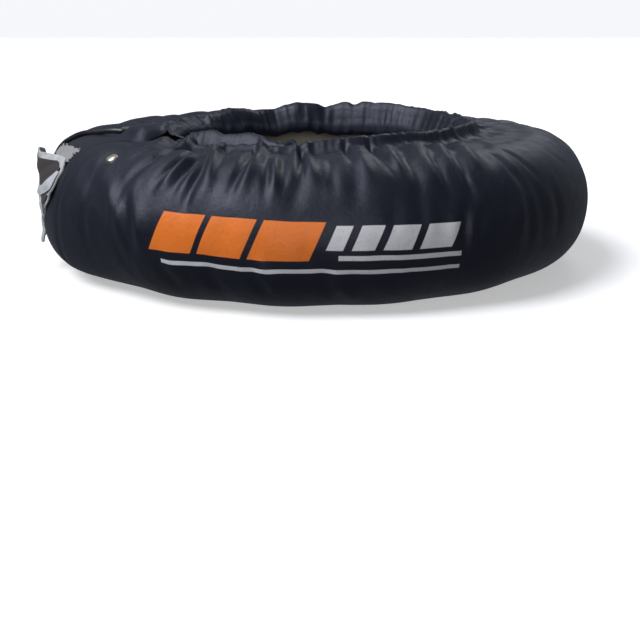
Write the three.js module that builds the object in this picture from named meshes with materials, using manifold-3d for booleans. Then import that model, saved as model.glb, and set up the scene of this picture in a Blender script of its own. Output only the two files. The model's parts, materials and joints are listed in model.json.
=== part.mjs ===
// A tyre warmer for a 17 inch front motorcycle wheel, closed to a ring and lying flat.
// Millimetres, +Z up. The origin is on the ring's axis, on the surface that it lies on.
// The closure is at -X. Angles run from +X towards +Y, in degrees.
// All ring pieces are open at the closure, as the real strip is.

import * as THREE from 'three';
import { mergeVertices } from 'three/addons/utils/BufferGeometryUtils.js';
import Module from 'manifold-3d';

const wasm = await Module();
wasm.setup();

// ---- driving dimensions ----
const OPEN_FROM = 209; // where the strip's outer end lies
const OPEN_TO = 564; // 204 degrees, where the inner end lies
const STEPS = 32; // facets round the ring
const SHELL = 1.6; // outer nylon with its lining
const FELT = [2.0, 8.0]; // depth of each layer below the outer face
const CARRIER = [8.4, 9.4];
const WIRE_DEPTH = 11.3;
const WIRE_R = 1.1;
const LINING = [13.6, 14.8];
const HEM_R = 5.2; // elastic in the hem
const LEAD_D = 6.5; // mains lead
const PANEL = { from: 181, to: 207.6, low: 26, high: 131, r0: 318.6, r1: 320.6 };
const TAPE_R = [320.9, 322.4];
const COIL = { x: -107, y: 376, low: 1.6, pitch: 6.7, mean: 34.2 };
const FLOOR_LIFT = 3.65; // the lead's centre above the floor

// Outer face from the upper hem round the tread to the lower hem, as [radius, height].
const FACE = [
  [178, 150.5], [205, 151.0], [240, 150.6], [270, 145.2], [287, 137.2], [298.5, 128.0], // upper skirt
  [309.5, 112], [316.3, 97], [318, 79], [316, 58], [309.5, 39], [298.8, 25.4], // tread
  [287, 15.4], [272, 6.5], [258, 0], [205, 0], [178, 0], // lower skirt
];
const UPPER_SEAM = 5; // the point of FACE where the upper skirt is sewn to the tread
const LOWER_SEAM = 11;

const deg = THREE.MathUtils.degToRad;

// ---- the face's offsets ----
const along = [0];
for (let i = 1; i < FACE.length; i++) {
  along.push(along[i - 1] + Math.hypot(FACE[i][0] - FACE[i - 1][0], FACE[i][1] - FACE[i - 1][1]));
}
// How far each point moves for each millimetre of depth. The inside lies to the right of the walk along FACE.
const inward = FACE.map((p, i) => {
  const side = (a, b) => {
    const d = [b[0] - a[0], b[1] - a[1]], l = Math.hypot(...d);
    return [d[1] / l, -d[0] / l];
  };
  const n = [];
  if (i > 0) n.push(side(FACE[i - 1], p));
  if (i < FACE.length - 1) n.push(side(p, FACE[i + 1]));
  const m = n.length === 1 ? n[0] : [(n[0][0] + n[1][0]) / 2, (n[0][1] + n[1][1]) / 2];
  const k = m[0] * m[0] + m[1] * m[1];
  return [m[0] / k, m[1] / k];
});
// The point at a distance s along FACE and a depth below it.
function at(s, depth) {
  let i = 0;
  while (i < FACE.length - 2 && along[i + 1] < s) i++;
  const t = (s - along[i]) / (along[i + 1] - along[i]);
  return [0, 1].map((k) => (FACE[i][k] + depth * inward[i][k]) * (1 - t) + (FACE[i + 1][k] + depth * inward[i + 1][k]) * t);
}
// A closed section of the layer between two depths, from s0 to s1.
function strip(s0, s1, d0, d1) {
  const s = [s0, ...along.filter((a) => a > s0 + 0.5 && a < s1 - 0.5), s1];
  return [...s.map((a) => at(a, d0)), ...s.reverse().map((a) => at(a, d1))];
}

// ---- solids ----
class Arc extends THREE.Curve {
  constructor(radius, from, to) {
    super();
    Object.assign(this, { radius, from, to });
  }
  getPoint(t, target = new THREE.Vector3()) {
    const a = deg(this.from + (this.to - this.from) * t);
    return target.set(this.radius * Math.cos(a), this.radius * Math.sin(a), 0);
  }
}
// Sweeps a section of [radius, height] points round the axis.
function sweep(section, from, to, steps, hole) {
  const path = new Arc(300, from, to);
  const flat = (p) => new THREE.Vector2(-p[1], 300 - p[0]);
  const shape = new THREE.Shape(section.map(flat));
  if (hole) shape.holes.push(new THREE.Path(hole.map(flat)));
  return new THREE.ExtrudeGeometry(shape, { steps, extrudePath: path, bevelEnabled: false });
}
const ring = (section, hole) => sweep(section, OPEN_FROM, OPEN_TO, STEPS, hole);

function disc(x, y, r, sides) {
  return Array.from({ length: sides }, (_, i) => [
    x + r * Math.cos((i / sides) * 2 * Math.PI), y + r * Math.sin((i / sides) * 2 * Math.PI),
  ]);
}
function tube(points, r, sides, steps) {
  const path = new THREE.CatmullRomCurve3(points, false, 'centripetal');
  const shape = new THREE.Shape(disc(0, 0, r, sides).map((p) => new THREE.Vector2(...p)));
  return new THREE.ExtrudeGeometry(shape, { steps, extrudePath: path, bevelEnabled: false });
}
const lathe = (points, sides = 24) => new THREE.LatheGeometry(points.map((p) => new THREE.Vector2(...p)), sides).rotateX(Math.PI / 2);

function solid(geometry) {
  const bare = geometry.clone();
  for (const name of Object.keys(bare.attributes)) if (name !== 'position') bare.deleteAttribute(name);
  const merged = mergeVertices(bare, 1e-4);
  return new wasm.Manifold(new wasm.Mesh({
    numProp: 3,
    vertProperties: new Float32Array(merged.attributes.position.array),
    triVerts: new Uint32Array(merged.index.array),
  }));
}
function geometryOf(manifold) {
  const mesh = manifold.getMesh();
  const g = new THREE.BufferGeometry();
  g.setAttribute('position', new THREE.BufferAttribute(new Float32Array(mesh.vertProperties), 3));
  g.setIndex(new THREE.BufferAttribute(new Uint32Array(mesh.triVerts), 1));
  g.computeVertexNormals();
  return g;
}
const cut = (a, ...tools) => geometryOf(tools.reduce((m, t) => m.subtract(solid(t)), solid(a)));
const join = (a, ...more) => geometryOf(more.reduce((m, t) => m.add(solid(t)), solid(a)));

// ---- the assembly ----
const object = new THREE.Group();
function add(name, geometry, color, roughness, metalness, parent = object) {
  const mesh = new THREE.Mesh(geometry, new THREE.MeshStandardMaterial({ color, roughness, metalness }));
  mesh.name = name;
  parent.add(mesh);
  return mesh;
}
const NAVY = 0x1d2030, BLACK = 0x141416, GREY = 0xb9bcc0, OLIVE = 0x5d5a4c, FELTED = 0xd8d4c8;

// A point on the ring at a distance s along the face, a depth and an angle.
function place(s, depth, angle) {
  const [r, z] = at(s, depth);
  return new THREE.Vector3(r * Math.cos(deg(angle)), r * Math.sin(deg(angle)), z);
}
// The middle of the facet that is nearest to an angle, and how much nearer the axis it lies.
const FACET = (OPEN_TO - OPEN_FROM) / STEPS;
const midFacet = (angle) => OPEN_FROM + (Math.round((angle - OPEN_FROM) / FACET - 0.5) + 0.5) * FACET;
const FLAT = Math.cos(deg(FACET / 2));
// How much nearer the axis the faceted face lies at an angle.
const pull = (a) => FLAT / Math.cos(deg(a - (OPEN_FROM + (Math.floor((((a - OPEN_FROM) % 360) + 360) % 360 / FACET) + 0.5) * FACET)));
// Turns a geometry's +Z to the outward normal of the facet at an angle, and moves it there.
function onFace(geometry, s, depth, angle) {
  const a = deg(angle), m = deg(midFacet(angle)), [r0, z0] = at(s, depth), [r1, z1] = at(s, depth + 1);
  const out = new THREE.Vector3((r0 - r1) * Math.cos(m), (r0 - r1) * Math.sin(m), z0 - z1).normalize();
  geometry.applyQuaternion(new THREE.Quaternion().setFromUnitVectors(new THREE.Vector3(0, 0, 1), out));
  return geometry.translate(r0 * pull(angle) * Math.cos(a), r0 * pull(angle) * Math.sin(a), z0);
}

const seamU = along[UPPER_SEAM], seamL = along[LOWER_SEAM], last = along[along.length - 1];

// -- eyelet through the upper skirt, and the elbow gland that the lead leaves by --
const EYELET = { s: along[3] + 11, angle: 221.8 };
const GLAND = { angle: midFacet(559.5), r: 200 };
GLAND.x = GLAND.r * Math.cos(deg(GLAND.angle));
GLAND.y = GLAND.r * Math.sin(deg(GLAND.angle));
const eyeletHole = onFace(new THREE.CylinderGeometry(2.7, 2.7, 12, 16).rotateX(Math.PI / 2), EYELET.s, 0.8, EYELET.angle);
const glandHole = new THREE.CylinderGeometry(6.4, 6.4, 14, 20).rotateX(Math.PI / 2).translate(GLAND.x, GLAND.y, 150);

// -- outer shell --
add('tread_panel', ring(strip(seamU + 0.2, seamL - 0.2, 0, SHELL)), NAVY, 0.75, 0);

// The hem is turned under into a casing, which is open at both ends for the elastic.
const hem = [[174.5, 140.2], [168.3, 133.2], [161.5, 133.6], [157.2, 139.0], [158.4, 145.2], [166, 149.4]];
const channel = [[173.0, 140.7], [167.7, 134.8], [162.1, 135.1], [158.8, 139.5], [159.8, 144.4], [166.6, 147.8], [175.2, 148.2]];
{
  const s = strip(0, seamU - 0.2, 0, SHELL); // outer face out to the seam, then back along the inner face
  add('upper_side_skirt', cut(ring([...s, ...hem], channel), eyeletHole, glandHole), NAVY, 0.75, 0);
}
const flip = (p) => [p[0], 150.5 - p[1]];
{
  const s = strip(seamL + 0.2, last, 0, SHELL);
  const n = s.length / 2;
  const outer = s.slice(0, n), inner = s.slice(n);
  add('lower_side_skirt', ring([...outer, ...hem.map(flip).reverse(), ...inner], channel.map(flip)), NAVY, 0.75, 0);
}
add('upper_hem_elastic', ring(disc(166.9, 141.6, HEM_R, 6)), BLACK, 0.8, 0);
add('lower_hem_elastic', ring(disc(166.9, 150.5 - 141.6, HEM_R, 6)), BLACK, 0.8, 0);
add('upper_seam_tape', ring(strip(seamU - 9, seamU + 9, 2.0, 3.0)), BLACK, 0.8, 0);
add('lower_seam_tape', ring(strip(seamL - 9, seamL + 9, 2.0, 3.0)), BLACK, 0.8, 0);

// -- heater, from the outside in --
const from = seamU + 10, to = seamL - 10;
const WINDOW = midFacet(550.5); // a window in the felt holds the cut-outs
const windowCut = inWindow(new THREE.BoxGeometry(14, 36, 40), 0, 79, 5);
add('insulation_felt', cut(ring(strip(from, to, ...FELT)), windowCut), FELTED, 0.95, 0);
add('heater_carrier', ring(strip(from, to, ...CARRIER)), 0xc9c3b2, 0.9, 0);
add('inner_lining', ring(strip(from - 4, to + 4, ...LINING)), OLIVE, 0.8, 0);

// The heating wire zigzags between carrier and lining, with a bend wherever the wall has one.
class Bent extends THREE.Curve {
  constructor(points) {
    super();
    this.points = points;
  }
  getUtoTmapping(u) {
    return u;
  }
  getPoint(t, target = new THREE.Vector3()) {
    const k = Math.min(Math.max(t, 0), 1) * (this.points.length - 1), i = Math.min(Math.floor(k), this.points.length - 2);
    return target.lerpVectors(this.points[i], this.points[i + 1], k - i);
  }
}
{
  const turns = 14, heights = [along[6] - 3, along[7], along[8], along[9], along[10] - 3, along[9], along[8], along[7]];
  const a0 = OPEN_FROM + 4, a1 = OPEN_TO - 20, n = turns * heights.length;
  const points = [];
  for (let i = 0; i <= n; i++) {
    const a = a0 + ((a1 - a0) * i) / n, [r, z] = at(heights[i % heights.length], WIRE_DEPTH);
    points.push(new THREE.Vector3(r * pull(a) * Math.cos(deg(a)), r * pull(a) * Math.sin(deg(a)), z));
  }
  const section = new THREE.Shape(disc(0, 0, WIRE_R, 6).map((p) => new THREE.Vector2(...p)));
  add('heating_wire', new THREE.ExtrudeGeometry(section, { steps: n, extrudePath: new Bent(points), bevelEnabled: false }), 0xa23a2c, 0.6, 0);
}

// Blocks in the felt's window, turned to the facet: thermostat and thermal fuse.
function inWindow(geometry, across, z, depth) {
  const a = deg(WINDOW), [r] = at(along[8], depth);
  geometry.rotateZ(a);
  return geometry.translate(r * FLAT * Math.cos(a) - across * Math.sin(a), r * FLAT * Math.sin(a) + across * Math.cos(a), z);
}
add('thermostat', inWindow(new THREE.BoxGeometry(4, 9, 21), -8, 79, 5), 0x2a2a2c, 0.5, 0);
add('thermal_fuse', inWindow(new THREE.CylinderGeometry(1.9, 1.9, 14, 12).rotateX(Math.PI / 2), 7, 84, 5), 0xb8a27a, 0.4, 0.6);

// Supply wires from the gland under the skirt to the splices, between carrier and lining.
for (const [name, shift, colour] of [['live', 0, 0x6b3a1e], ['neutral', 1, 0x2a4a8c]]) {
  const a = WINDOW + (shift ? -1.1 : 1.1);
  const side = shift ? -2 : 2;
  const sTop = along[1] + 6, sEnd = along[7] + 2;
  const g = [GLAND.x - side * Math.sin(deg(GLAND.angle)), GLAND.y + side * Math.cos(deg(GLAND.angle))];
  const points = [new THREE.Vector3(g[0], g[1], 143.8), new THREE.Vector3(g[0] * 1.005, g[1] * 1.005, 141.6)];
  const n = 11;
  for (let i = 0; i <= n; i++) {
    const t = i / n, s = sTop + (sEnd - sTop) * t;
    const turn = Math.min(1, t / 0.75);
    const start = GLAND.angle + (shift ? -0.55 : 0.55);
    const angle = start + (a - start) * turn * turn * (3 - 2 * turn);
    const p = place(s, WIRE_DEPTH, angle);
    points.push(new THREE.Vector3(p.x * pull(angle), p.y * pull(angle), p.z));
  }
  add(`supply_wire_${name}`, tube(points, 1.0, 6, 26), colour, 0.5, 0);
  const end = points[points.length - 1];
  const on = place(sEnd + 13, WIRE_DEPTH, a);
  const dir = new THREE.Vector3(on.x * pull(a), on.y * pull(a), on.z).sub(end).normalize();
  const splice = new THREE.CylinderGeometry(1.35, 1.35, 12, 10);
  splice.applyQuaternion(new THREE.Quaternion().setFromUnitVectors(new THREE.Vector3(0, 1, 0), dir));
  splice.translate(...end.clone().addScaledVector(dir, 6.6));
  add(`splice_${name}`, splice, 0xb9b9b9, 0.35, 0.9);
}

// -- closure: a stiffened strip across the opening, with its touch tapes --
const block = (r0, r1, z0, z1) => [[r0, z0], [r1, z0], [r1, z1], [r0, z1]];
add('closure_panel', sweep(block(PANEL.r0, PANEL.r1, PANEL.low, PANEL.high), PANEL.from, PANEL.to, 8), GREY, 0.7, 0);
add('loop_tape', sweep(block(...TAPE_R, 30, 127), 182, 195.6, 4), GREY, 0.9, 0);
add('hook_tape', sweep(block(...TAPE_R, 76, 126), 196.0, 207.0, 4), 0x2c2624, 0.85, 0);
add('loop_tape_foot', sweep(block(...TAPE_R, 29, 75.6), 196.0, 207.0, 4), GREY, 0.9, 0);
add('shoulder_tab', sweep(strip(along[3] + 6, seamU - 1, -1.9, -0.5), 191.5, 203.5, 3), GREY, 0.95, 0);

// -- eyelet: a domed cap and shank, and the washer that it is set against --
{
  const cap = lathe([[0, -2.6], [2.2, -2.6], [2.2, 0.5], [6.6, 0.5], [6.6, 1.0], [5.4, 1.9], [3.0, 2.5], [0, 2.7]], 20);
  add('eyelet_front', onFace(cap, EYELET.s, 0, EYELET.angle), 0xc9bfae, 0.3, 1);
  const washer = lathe([[2.6, -2.9], [5.6, -2.9], [5.6, -2.1], [2.6, -2.1], [2.6, -2.9]], 20);
  add('eyelet_washer', onFace(washer, EYELET.s, 0, EYELET.angle), 0xb8b0a2, 0.35, 1);
}

// -- the lead's route --
// From the gland over the shoulder, down behind the closure strip, round the back on the floor.
const S = (r, i) => along[i] + ((r - FACE[i][0]) / (FACE[i + 1][0] - FACE[i][0])) * (along[i + 1] - along[i]);
const LIFT = -(LEAD_D / 2 + 1.2);
const polar = (r, a, z) => new THREE.Vector3(r * Math.cos(deg(a)), r * Math.sin(deg(a)), z);
const route = [
  place(S(227, 1), LIFT, 196.3), place(S(240, 1), LIFT, 193.8), place(S(255, 2), LIFT, 190.8),
  place(S(270, 2), LIFT, 187.8), place(S(285, 3), LIFT, 185.0), place(S(296, 4), LIFT, 182.6),
  place(S(305, 5), LIFT, 180.7), place(S(312, 6), LIFT, 179.2), place(S(317, 7), LIFT, 178.0),
  polar(323.2, 176.9, 78), polar(322.8, 175.8, 60), polar(320.6, 174.5, 43), polar(319.6, 172.9, 28),
  polar(319.6, 170.6, 15), polar(320.6, 167.6, 7), polar(321.8, 164.2, FLOOR_LIFT),
  polar(322, 159, FLOOR_LIFT), polar(322, 153, FLOOR_LIFT), polar(322, 147, FLOOR_LIFT),
  polar(322, 141, FLOOR_LIFT), polar(322, 135, FLOOR_LIFT), polar(322.4, 129.5, FLOOR_LIFT),
];
// It meets the coil's lowest turn as a tangent.
const outer = COIL.mean + COIL.pitch / 2, inner = COIL.mean - COIL.pitch / 2;
const onCoil = (r, a, z) => new THREE.Vector3(COIL.x + r * Math.cos(deg(a)), COIL.y + r * Math.sin(deg(a)), z);
const coilLow = COIL.low + LEAD_D / 2 + 0.15;
const ENTRY = -58; // where on the coil the lead touches it
const tangent = [-Math.sin(deg(ENTRY)), Math.cos(deg(ENTRY))];
const touch = onCoil(outer, ENTRY, coilLow);
for (const back of [84, 56, 24]) {
  route.push(new THREE.Vector3(touch.x - back * tangent[0], touch.y - back * tangent[1], FLOOR_LIFT + (coilLow - FLOOR_LIFT) * (1 - back / 84)));
}
add('mains_lead', tube(route, LEAD_D / 2, 8, 60), BLACK, 0.3, 0);

// The coil: six turns, two side by side in three layers, as one ring. With them the lead is 2.0 m long.
{
  const half = COIL.pitch + 0.2, high = COIL.low + 3 * COIL.pitch + 0.3;
  const profile = [
    [COIL.mean - half, COIL.low + 2], [COIL.mean - half + 2, COIL.low], [COIL.mean + half - 2, COIL.low], [COIL.mean + half, COIL.low + 2],
    [COIL.mean + half, high - 2], [COIL.mean + half - 2, high], [COIL.mean - half + 2, high], [COIL.mean - half, high - 2],
    [COIL.mean - half, COIL.low + 2],
  ];
  add('lead_coil', lathe(profile, 28).translate(COIL.x, COIL.y, 0), BLACK, 0.3, 0);
  // The tie is a flat band round the bundle.
  const w0 = half + 1.2, w1 = half + 2.4, z0 = COIL.low - 0.3, z1 = high + 0.4;
  const frame = new THREE.Shape([[-w1, z0 - 1.2], [w1, z0 - 1.2], [w1, z1 + 1.2], [-w1, z1 + 1.2]].map((p) => new THREE.Vector2(...p)));
  frame.holes.push(new THREE.Path([[-w0, z0], [w0, z0], [w0, z1], [-w0, z1]].map((p) => new THREE.Vector2(...p))));
  const g = new THREE.ExtrudeGeometry(frame, { depth: 12, bevelEnabled: false }).translate(0, 0, -6).rotateX(Math.PI / 2);
  g.rotateZ(deg(150)).translate(COIL.x + COIL.mean * Math.cos(deg(150)), COIL.y + COIL.mean * Math.sin(deg(150)), 0);
  add('coil_tie', g, 0x2b2b2e, 0.9, 0);
}

// -- plug: it lies on its back beside the coil, pins up --
const EXIT = -60 + 6; // where the lead leaves the coil's top turn
const leave = [-Math.sin(deg(EXIT)), Math.cos(deg(EXIT))];
const coilTop = COIL.low + 2.5 * COIL.pitch + 0.15;
const tailStart = onCoil(outer, EXIT, coilTop);
const plug = new THREE.Group();
const PLUG_AT = 74; // from where the lead leaves the coil to the plug's nose
plug.position.set(tailStart.x + PLUG_AT * leave[0], tailStart.y + PLUG_AT * leave[1], 0);
plug.rotation.z = Math.atan2(leave[1], leave[0]);
object.add(plug);
{
  const outline = [[0, -8], [9, -8], [15, -22], [21, -24.6], [50, -24.6], [54, -20], [54, 20], [50, 24.6], [21, 24.6], [15, 22], [9, 8], [0, 8]];
  const body = new THREE.ExtrudeGeometry(new THREE.Shape(outline.map((p) => new THREE.Vector2(...p))), { depth: 18, bevelEnabled: false }).translate(0, 0, 0.2);
  const pinAt = { live: [24.5, 11.1, 6.35, 17.7], neutral: [24.5, -11.1, 6.35, 17.7], earth: [46.7 - 0.2, 0, 8, 22.7] };
  const tools = Object.values(pinAt).map(([x, y, w]) => new THREE.BoxGeometry(w === 8 ? 4.6 : w + 0.6, w === 8 ? 8.6 : 4.6, 10).translate(x, y, 18.2));
  tools.push(new THREE.BoxGeometry(9.6, 28.6, 12).translate(36.2, 0, 14.2)); // fuse pocket
  tools.push(new THREE.CylinderGeometry(LEAD_D / 2 + 0.35, LEAD_D / 2 + 0.35, 16, 12).rotateZ(Math.PI / 2).translate(0, 0, 9.2)); // where the lead goes in
  add('plug_body', cut(body, ...tools), BLACK, 0.5, 0, plug);
  for (const [name, [x, y, w, long]] of Object.entries(pinAt)) {
    const high = long + 4;
    add(`plug_pin_${name}`, new THREE.BoxGeometry(w === 8 ? 4 : w, w === 8 ? 8 : 4, high).translate(x, y, 13.6 + high / 2), 0xcaa65a, 0.3, 1, plug);
  }
  add('plug_fuse', new THREE.CylinderGeometry(3.1, 3.1, 25.4, 12).translate(36.2, 0, 11.6), 0xd9d4c6, 0.4, 0, plug);
  add('plug_fuse_cover', new THREE.BoxGeometry(9, 28, 1.6).translate(36.2, 0, 17.4), 0x3a3a3c, 0.5, 0, plug);
}
// The lead's tail, from the coil down into the plug.
{
  const step = (d, z) => new THREE.Vector3(tailStart.x + d * leave[0], tailStart.y + d * leave[1], z);
  add('lead_tail', tube([step(24, coilTop - 1.0), step(38, coilTop - 3.2), step(50, 12.0), step(60, 9.9), step(70, 9.2), step(PLUG_AT + 7.2, 9.2)], LEAD_D / 2, 8, 8), BLACK, 0.3, 0);
}

// -- elbow gland with its tapered strain relief --
{
  const nose = route[0].clone(), next = route[1].clone();
  const dir = nose.clone().sub(next).normalize(); // back along the lead
  const base = nose.clone().addScaledVector(dir, 27);
  const toGland = new THREE.Vector3(GLAND.x - base.x, GLAND.y - base.y, 0);
  const boot = lathe([[0, 0], [5.4, 0], [5.4, 3], [3.9, 26.5], [0, 26.5]], 16);
  boot.applyQuaternion(new THREE.Quaternion().setFromUnitVectors(new THREE.Vector3(0, 0, 1), dir.clone().negate()));
  boot.translate(base.x, base.y, base.z + 1.9);
  const elbow = new THREE.CylinderGeometry(6.0, 6.0, 19, 20).rotateX(Math.PI / 2).translate(GLAND.x, GLAND.y, 154.2);
  const flange = new THREE.CylinderGeometry(11, 11, 1.6, 24).rotateX(Math.PI / 2).translate(GLAND.x, GLAND.y, 152.4);
  const bridge = new THREE.CylinderGeometry(5.2, 5.2, toGland.length() + 6, 16).rotateZ(Math.PI / 2);
  bridge.rotateZ(Math.atan2(toGland.y, toGland.x)).translate((GLAND.x + base.x) / 2, (GLAND.y + base.y) / 2, base.z + 1.9);
  add('strain_relief', join(elbow, flange, bridge, boot), 0x18181a, 0.5, 0);
}

export default object;
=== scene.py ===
"""Looks of a motorcycle tyre warmer that lies flat and closed.

Everything is in metres in the part's own frame: +Z up, the ring's axis on Z, the closure at -X.
The solver for the fabric works in millimetres.
"""
import json
import math
import time

import bpy
import bmesh
import numpy as np
from mathutils import Matrix, Vector

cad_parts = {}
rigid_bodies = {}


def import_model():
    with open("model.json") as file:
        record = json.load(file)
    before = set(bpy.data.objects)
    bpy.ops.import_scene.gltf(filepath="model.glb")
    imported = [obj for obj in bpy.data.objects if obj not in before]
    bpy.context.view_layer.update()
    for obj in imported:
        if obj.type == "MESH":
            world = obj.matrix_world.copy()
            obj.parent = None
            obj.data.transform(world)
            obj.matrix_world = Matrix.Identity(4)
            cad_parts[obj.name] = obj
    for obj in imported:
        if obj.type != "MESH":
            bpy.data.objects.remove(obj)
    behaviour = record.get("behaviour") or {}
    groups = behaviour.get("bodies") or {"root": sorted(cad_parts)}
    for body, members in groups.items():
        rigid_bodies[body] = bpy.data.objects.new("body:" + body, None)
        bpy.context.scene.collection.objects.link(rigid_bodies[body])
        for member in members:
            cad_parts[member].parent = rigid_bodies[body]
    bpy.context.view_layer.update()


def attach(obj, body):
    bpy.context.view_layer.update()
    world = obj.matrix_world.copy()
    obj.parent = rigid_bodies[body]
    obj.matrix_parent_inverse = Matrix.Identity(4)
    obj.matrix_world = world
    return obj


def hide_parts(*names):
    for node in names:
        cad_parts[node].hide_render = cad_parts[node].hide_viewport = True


T0 = time.time()
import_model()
ROOT = "root"
MM = 0.001


def say(*words):
    print(f"[{time.time() - T0:6.1f} s]", *words, flush=True)


# ------------------------------------------------------------------ camera
CAMERA = (5.5, -1400.0, 307.3)  # mm
PITCH = math.radians(15.67)
LENS = 65.75

scene = bpy.context.scene
cam_data = bpy.data.cameras.new("camera")
cam_data.lens = LENS
cam_data.sensor_width = 36.0
cam_data.clip_start = 0.05
cam_data.clip_end = 50.0
camera = bpy.data.objects.new("camera", cam_data)
scene.collection.objects.link(camera)
camera.location = [c * MM for c in CAMERA]
camera.rotation_euler = (math.radians(90.0) - PITCH, 0.0, 0.0)
scene.camera = camera


# ------------------------------------------------------------------ small helpers
def smooth(x, a=0.0, b=1.0):
    t = np.clip((np.asarray(x, float) - a) / (b - a), 0.0, 1.0)
    return t * t * (3.0 - 2.0 * t)


def link(obj):
    scene.collection.objects.link(obj)
    return obj


def shade_smooth(mesh, on=True):
    mesh.polygons.foreach_set("use_smooth", [on] * len(mesh.polygons))


def mesh_object(name, verts, faces, material=None, is_smooth=True):
    """An object of vertices in millimetres."""
    mesh = bpy.data.meshes.new(name)
    mesh.from_pydata((np.asarray(verts, float) * MM).tolist(), [], [list(map(int, f)) for f in faces])
    mesh.validate()
    shade_smooth(mesh, is_smooth)
    if material:
        mesh.materials.append(material)
    return link(bpy.data.objects.new(name, mesh))


def grid_faces(nu, nv, flip=False, wrap_u=False, wrap_v=False):
    iu = np.arange(nu if wrap_u else nu - 1)
    iv = np.arange(nv if wrap_v else nv - 1)
    a, b = np.meshgrid(iu, iv, indexing="ij")
    a2, b2 = (a + 1) % nu, (b + 1) % nv
    f = np.stack([a * nv + b, a2 * nv + b, a2 * nv + b2, a * nv + b2], -1).reshape(-1, 4)
    return f[:, ::-1] if flip else f


def fast_grid(name, points, material, flip=False, closed_u=False, closed_v=False, caps=False, uv=None):
    """A mesh of an (nu, nv, 3) grid of points in millimetres."""
    nu, nv, _ = points.shape
    faces = grid_faces(nu, nv, flip, closed_u, closed_v)
    n = len(faces)
    mesh = bpy.data.meshes.new(name)
    mesh.vertices.add(nu * nv)
    mesh.vertices.foreach_set("co", (points.reshape(-1, 3) * MM).astype(np.float32).ravel())
    loops = faces.ravel().astype(np.int32)
    starts = np.arange(n, dtype=np.int32) * 4
    extra = []
    if caps and closed_v:
        first, last = np.arange(nv), (nu - 1) * nv + np.arange(nv)
        extra = [first[::-1] if not flip else first, last if not flip else last[::-1]]
        for e in extra:
            starts = np.append(starts, len(loops)).astype(np.int32)
            loops = np.append(loops, e).astype(np.int32)
    mesh.loops.add(len(loops))
    mesh.loops.foreach_set("vertex_index", loops)
    mesh.polygons.add(len(starts))
    mesh.polygons.foreach_set("loop_start", starts)
    mesh.update(calc_edges=True)
    if uv is not None:
        layer = mesh.uv_layers.new(name="OFBake")
        layer.data.foreach_set("uv", uv.reshape(-1, 2)[loops].astype(np.float32).ravel())
    mesh.validate()
    shade_smooth(mesh)
    mesh.materials.append(material)
    return link(bpy.data.objects.new(name, mesh))


def ride(obj, *nodes, slot=None):
    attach(obj, ROOT)
    if nodes:
        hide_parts(*nodes)
    return obj


def polar(r, a, z):
    return np.array([r * math.cos(math.radians(a)), r * math.sin(math.radians(a)), z])


# ------------------------------------------------------------------ materials
def material(name):
    m = bpy.data.materials.new(name)
    m.use_nodes = True
    m.node_tree.nodes.clear()
    out = m.node_tree.nodes.new("ShaderNodeOutputMaterial")
    p = m.node_tree.nodes.new("ShaderNodeBsdfPrincipled")
    m.node_tree.links.new(p.outputs[0], out.inputs[0])
    return m, m.node_tree, p


def node(tree, kind, **values):
    n = tree.nodes.new(kind)
    for k, v in values.items():
        if hasattr(n, k) and not k[0].isupper():
            setattr(n, k, v)
        else:
            n.inputs[k].default_value = v
    return n


def wire(tree, a, b):
    tree.links.new(a, b)


def coords(tree, scale=(1, 1, 1), which="Object"):
    c = tree.nodes.new("ShaderNodeTexCoord")
    m = tree.nodes.new("ShaderNodeMapping")
    m.inputs["Scale"].default_value = scale
    wire(tree, c.outputs[which], m.inputs["Vector"])
    return m.outputs[0]


def noise(tree, vector, scale, detail=3.0, rough=0.55, distortion=0.0):
    n = tree.nodes.new("ShaderNodeTexNoise")
    n.inputs["Scale"].default_value = scale
    n.inputs["Detail"].default_value = detail
    n.inputs["Roughness"].default_value = rough
    n.inputs["Distortion"].default_value = distortion
    wire(tree, vector, n.inputs["Vector"])
    return n.outputs["Fac"]


def ramp(tree, fac, stops):
    n = tree.nodes.new("ShaderNodeValToRGB")
    e = n.color_ramp.elements
    while len(e) < len(stops):
        e.new(0.5)
    for k, (pos, col) in enumerate(stops):
        e[k].position = pos
        e[k].color = (*col, 1.0) if len(col) == 3 else col
    wire(tree, fac, n.inputs[0])
    return n.outputs[0]


def mix(tree, fac, a, b, blend="MIX"):
    n = tree.nodes.new("ShaderNodeMix")
    n.data_type = "RGBA"
    n.blend_type = blend
    for sock, v in ((n.inputs[0], fac), (n.inputs[6], a), (n.inputs[7], b)):
        if isinstance(v, (int, float)):
            sock.default_value = v
        elif isinstance(v, (tuple, list)):
            sock.default_value = (*v, 1.0) if len(v) == 3 else v
        else:
            wire(tree, v, sock)
    return n.outputs[2]


def math_node(tree, op, a, b=0.0, c=0.0, clamp=False):
    n = tree.nodes.new("ShaderNodeMath")
    n.operation = op
    n.use_clamp = clamp
    for k, v in enumerate((a, b, c)):
        if k >= len(n.inputs):
            break
        if isinstance(v, (int, float)):
            n.inputs[k].default_value = v
        else:
            wire(tree, v, n.inputs[k])
    return n.outputs[0]


def bump(tree, height, strength, distance, normal=None):
    n = tree.nodes.new("ShaderNodeBump")
    n.inputs["Strength"].default_value = strength
    n.inputs["Distance"].default_value = distance
    wire(tree, height, n.inputs["Height"])
    if normal is not None:
        wire(tree, normal, n.inputs["Normal"])
    return n.outputs[0]


def weave(tree, vector, pitch, which=("X", "Y")):
    """A plain weave's height from two crossed sets of threads, for a vector in metres."""
    sep = tree.nodes.new("ShaderNodeSeparateXYZ")
    wire(tree, vector, sep.inputs[0])
    k = 2 * math.pi / pitch
    parts = [math_node(tree, "SINE", math_node(tree, "MULTIPLY", sep.outputs[w], k)) for w in which]
    return math_node(tree, "MULTIPLY", parts[0], parts[1])


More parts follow.
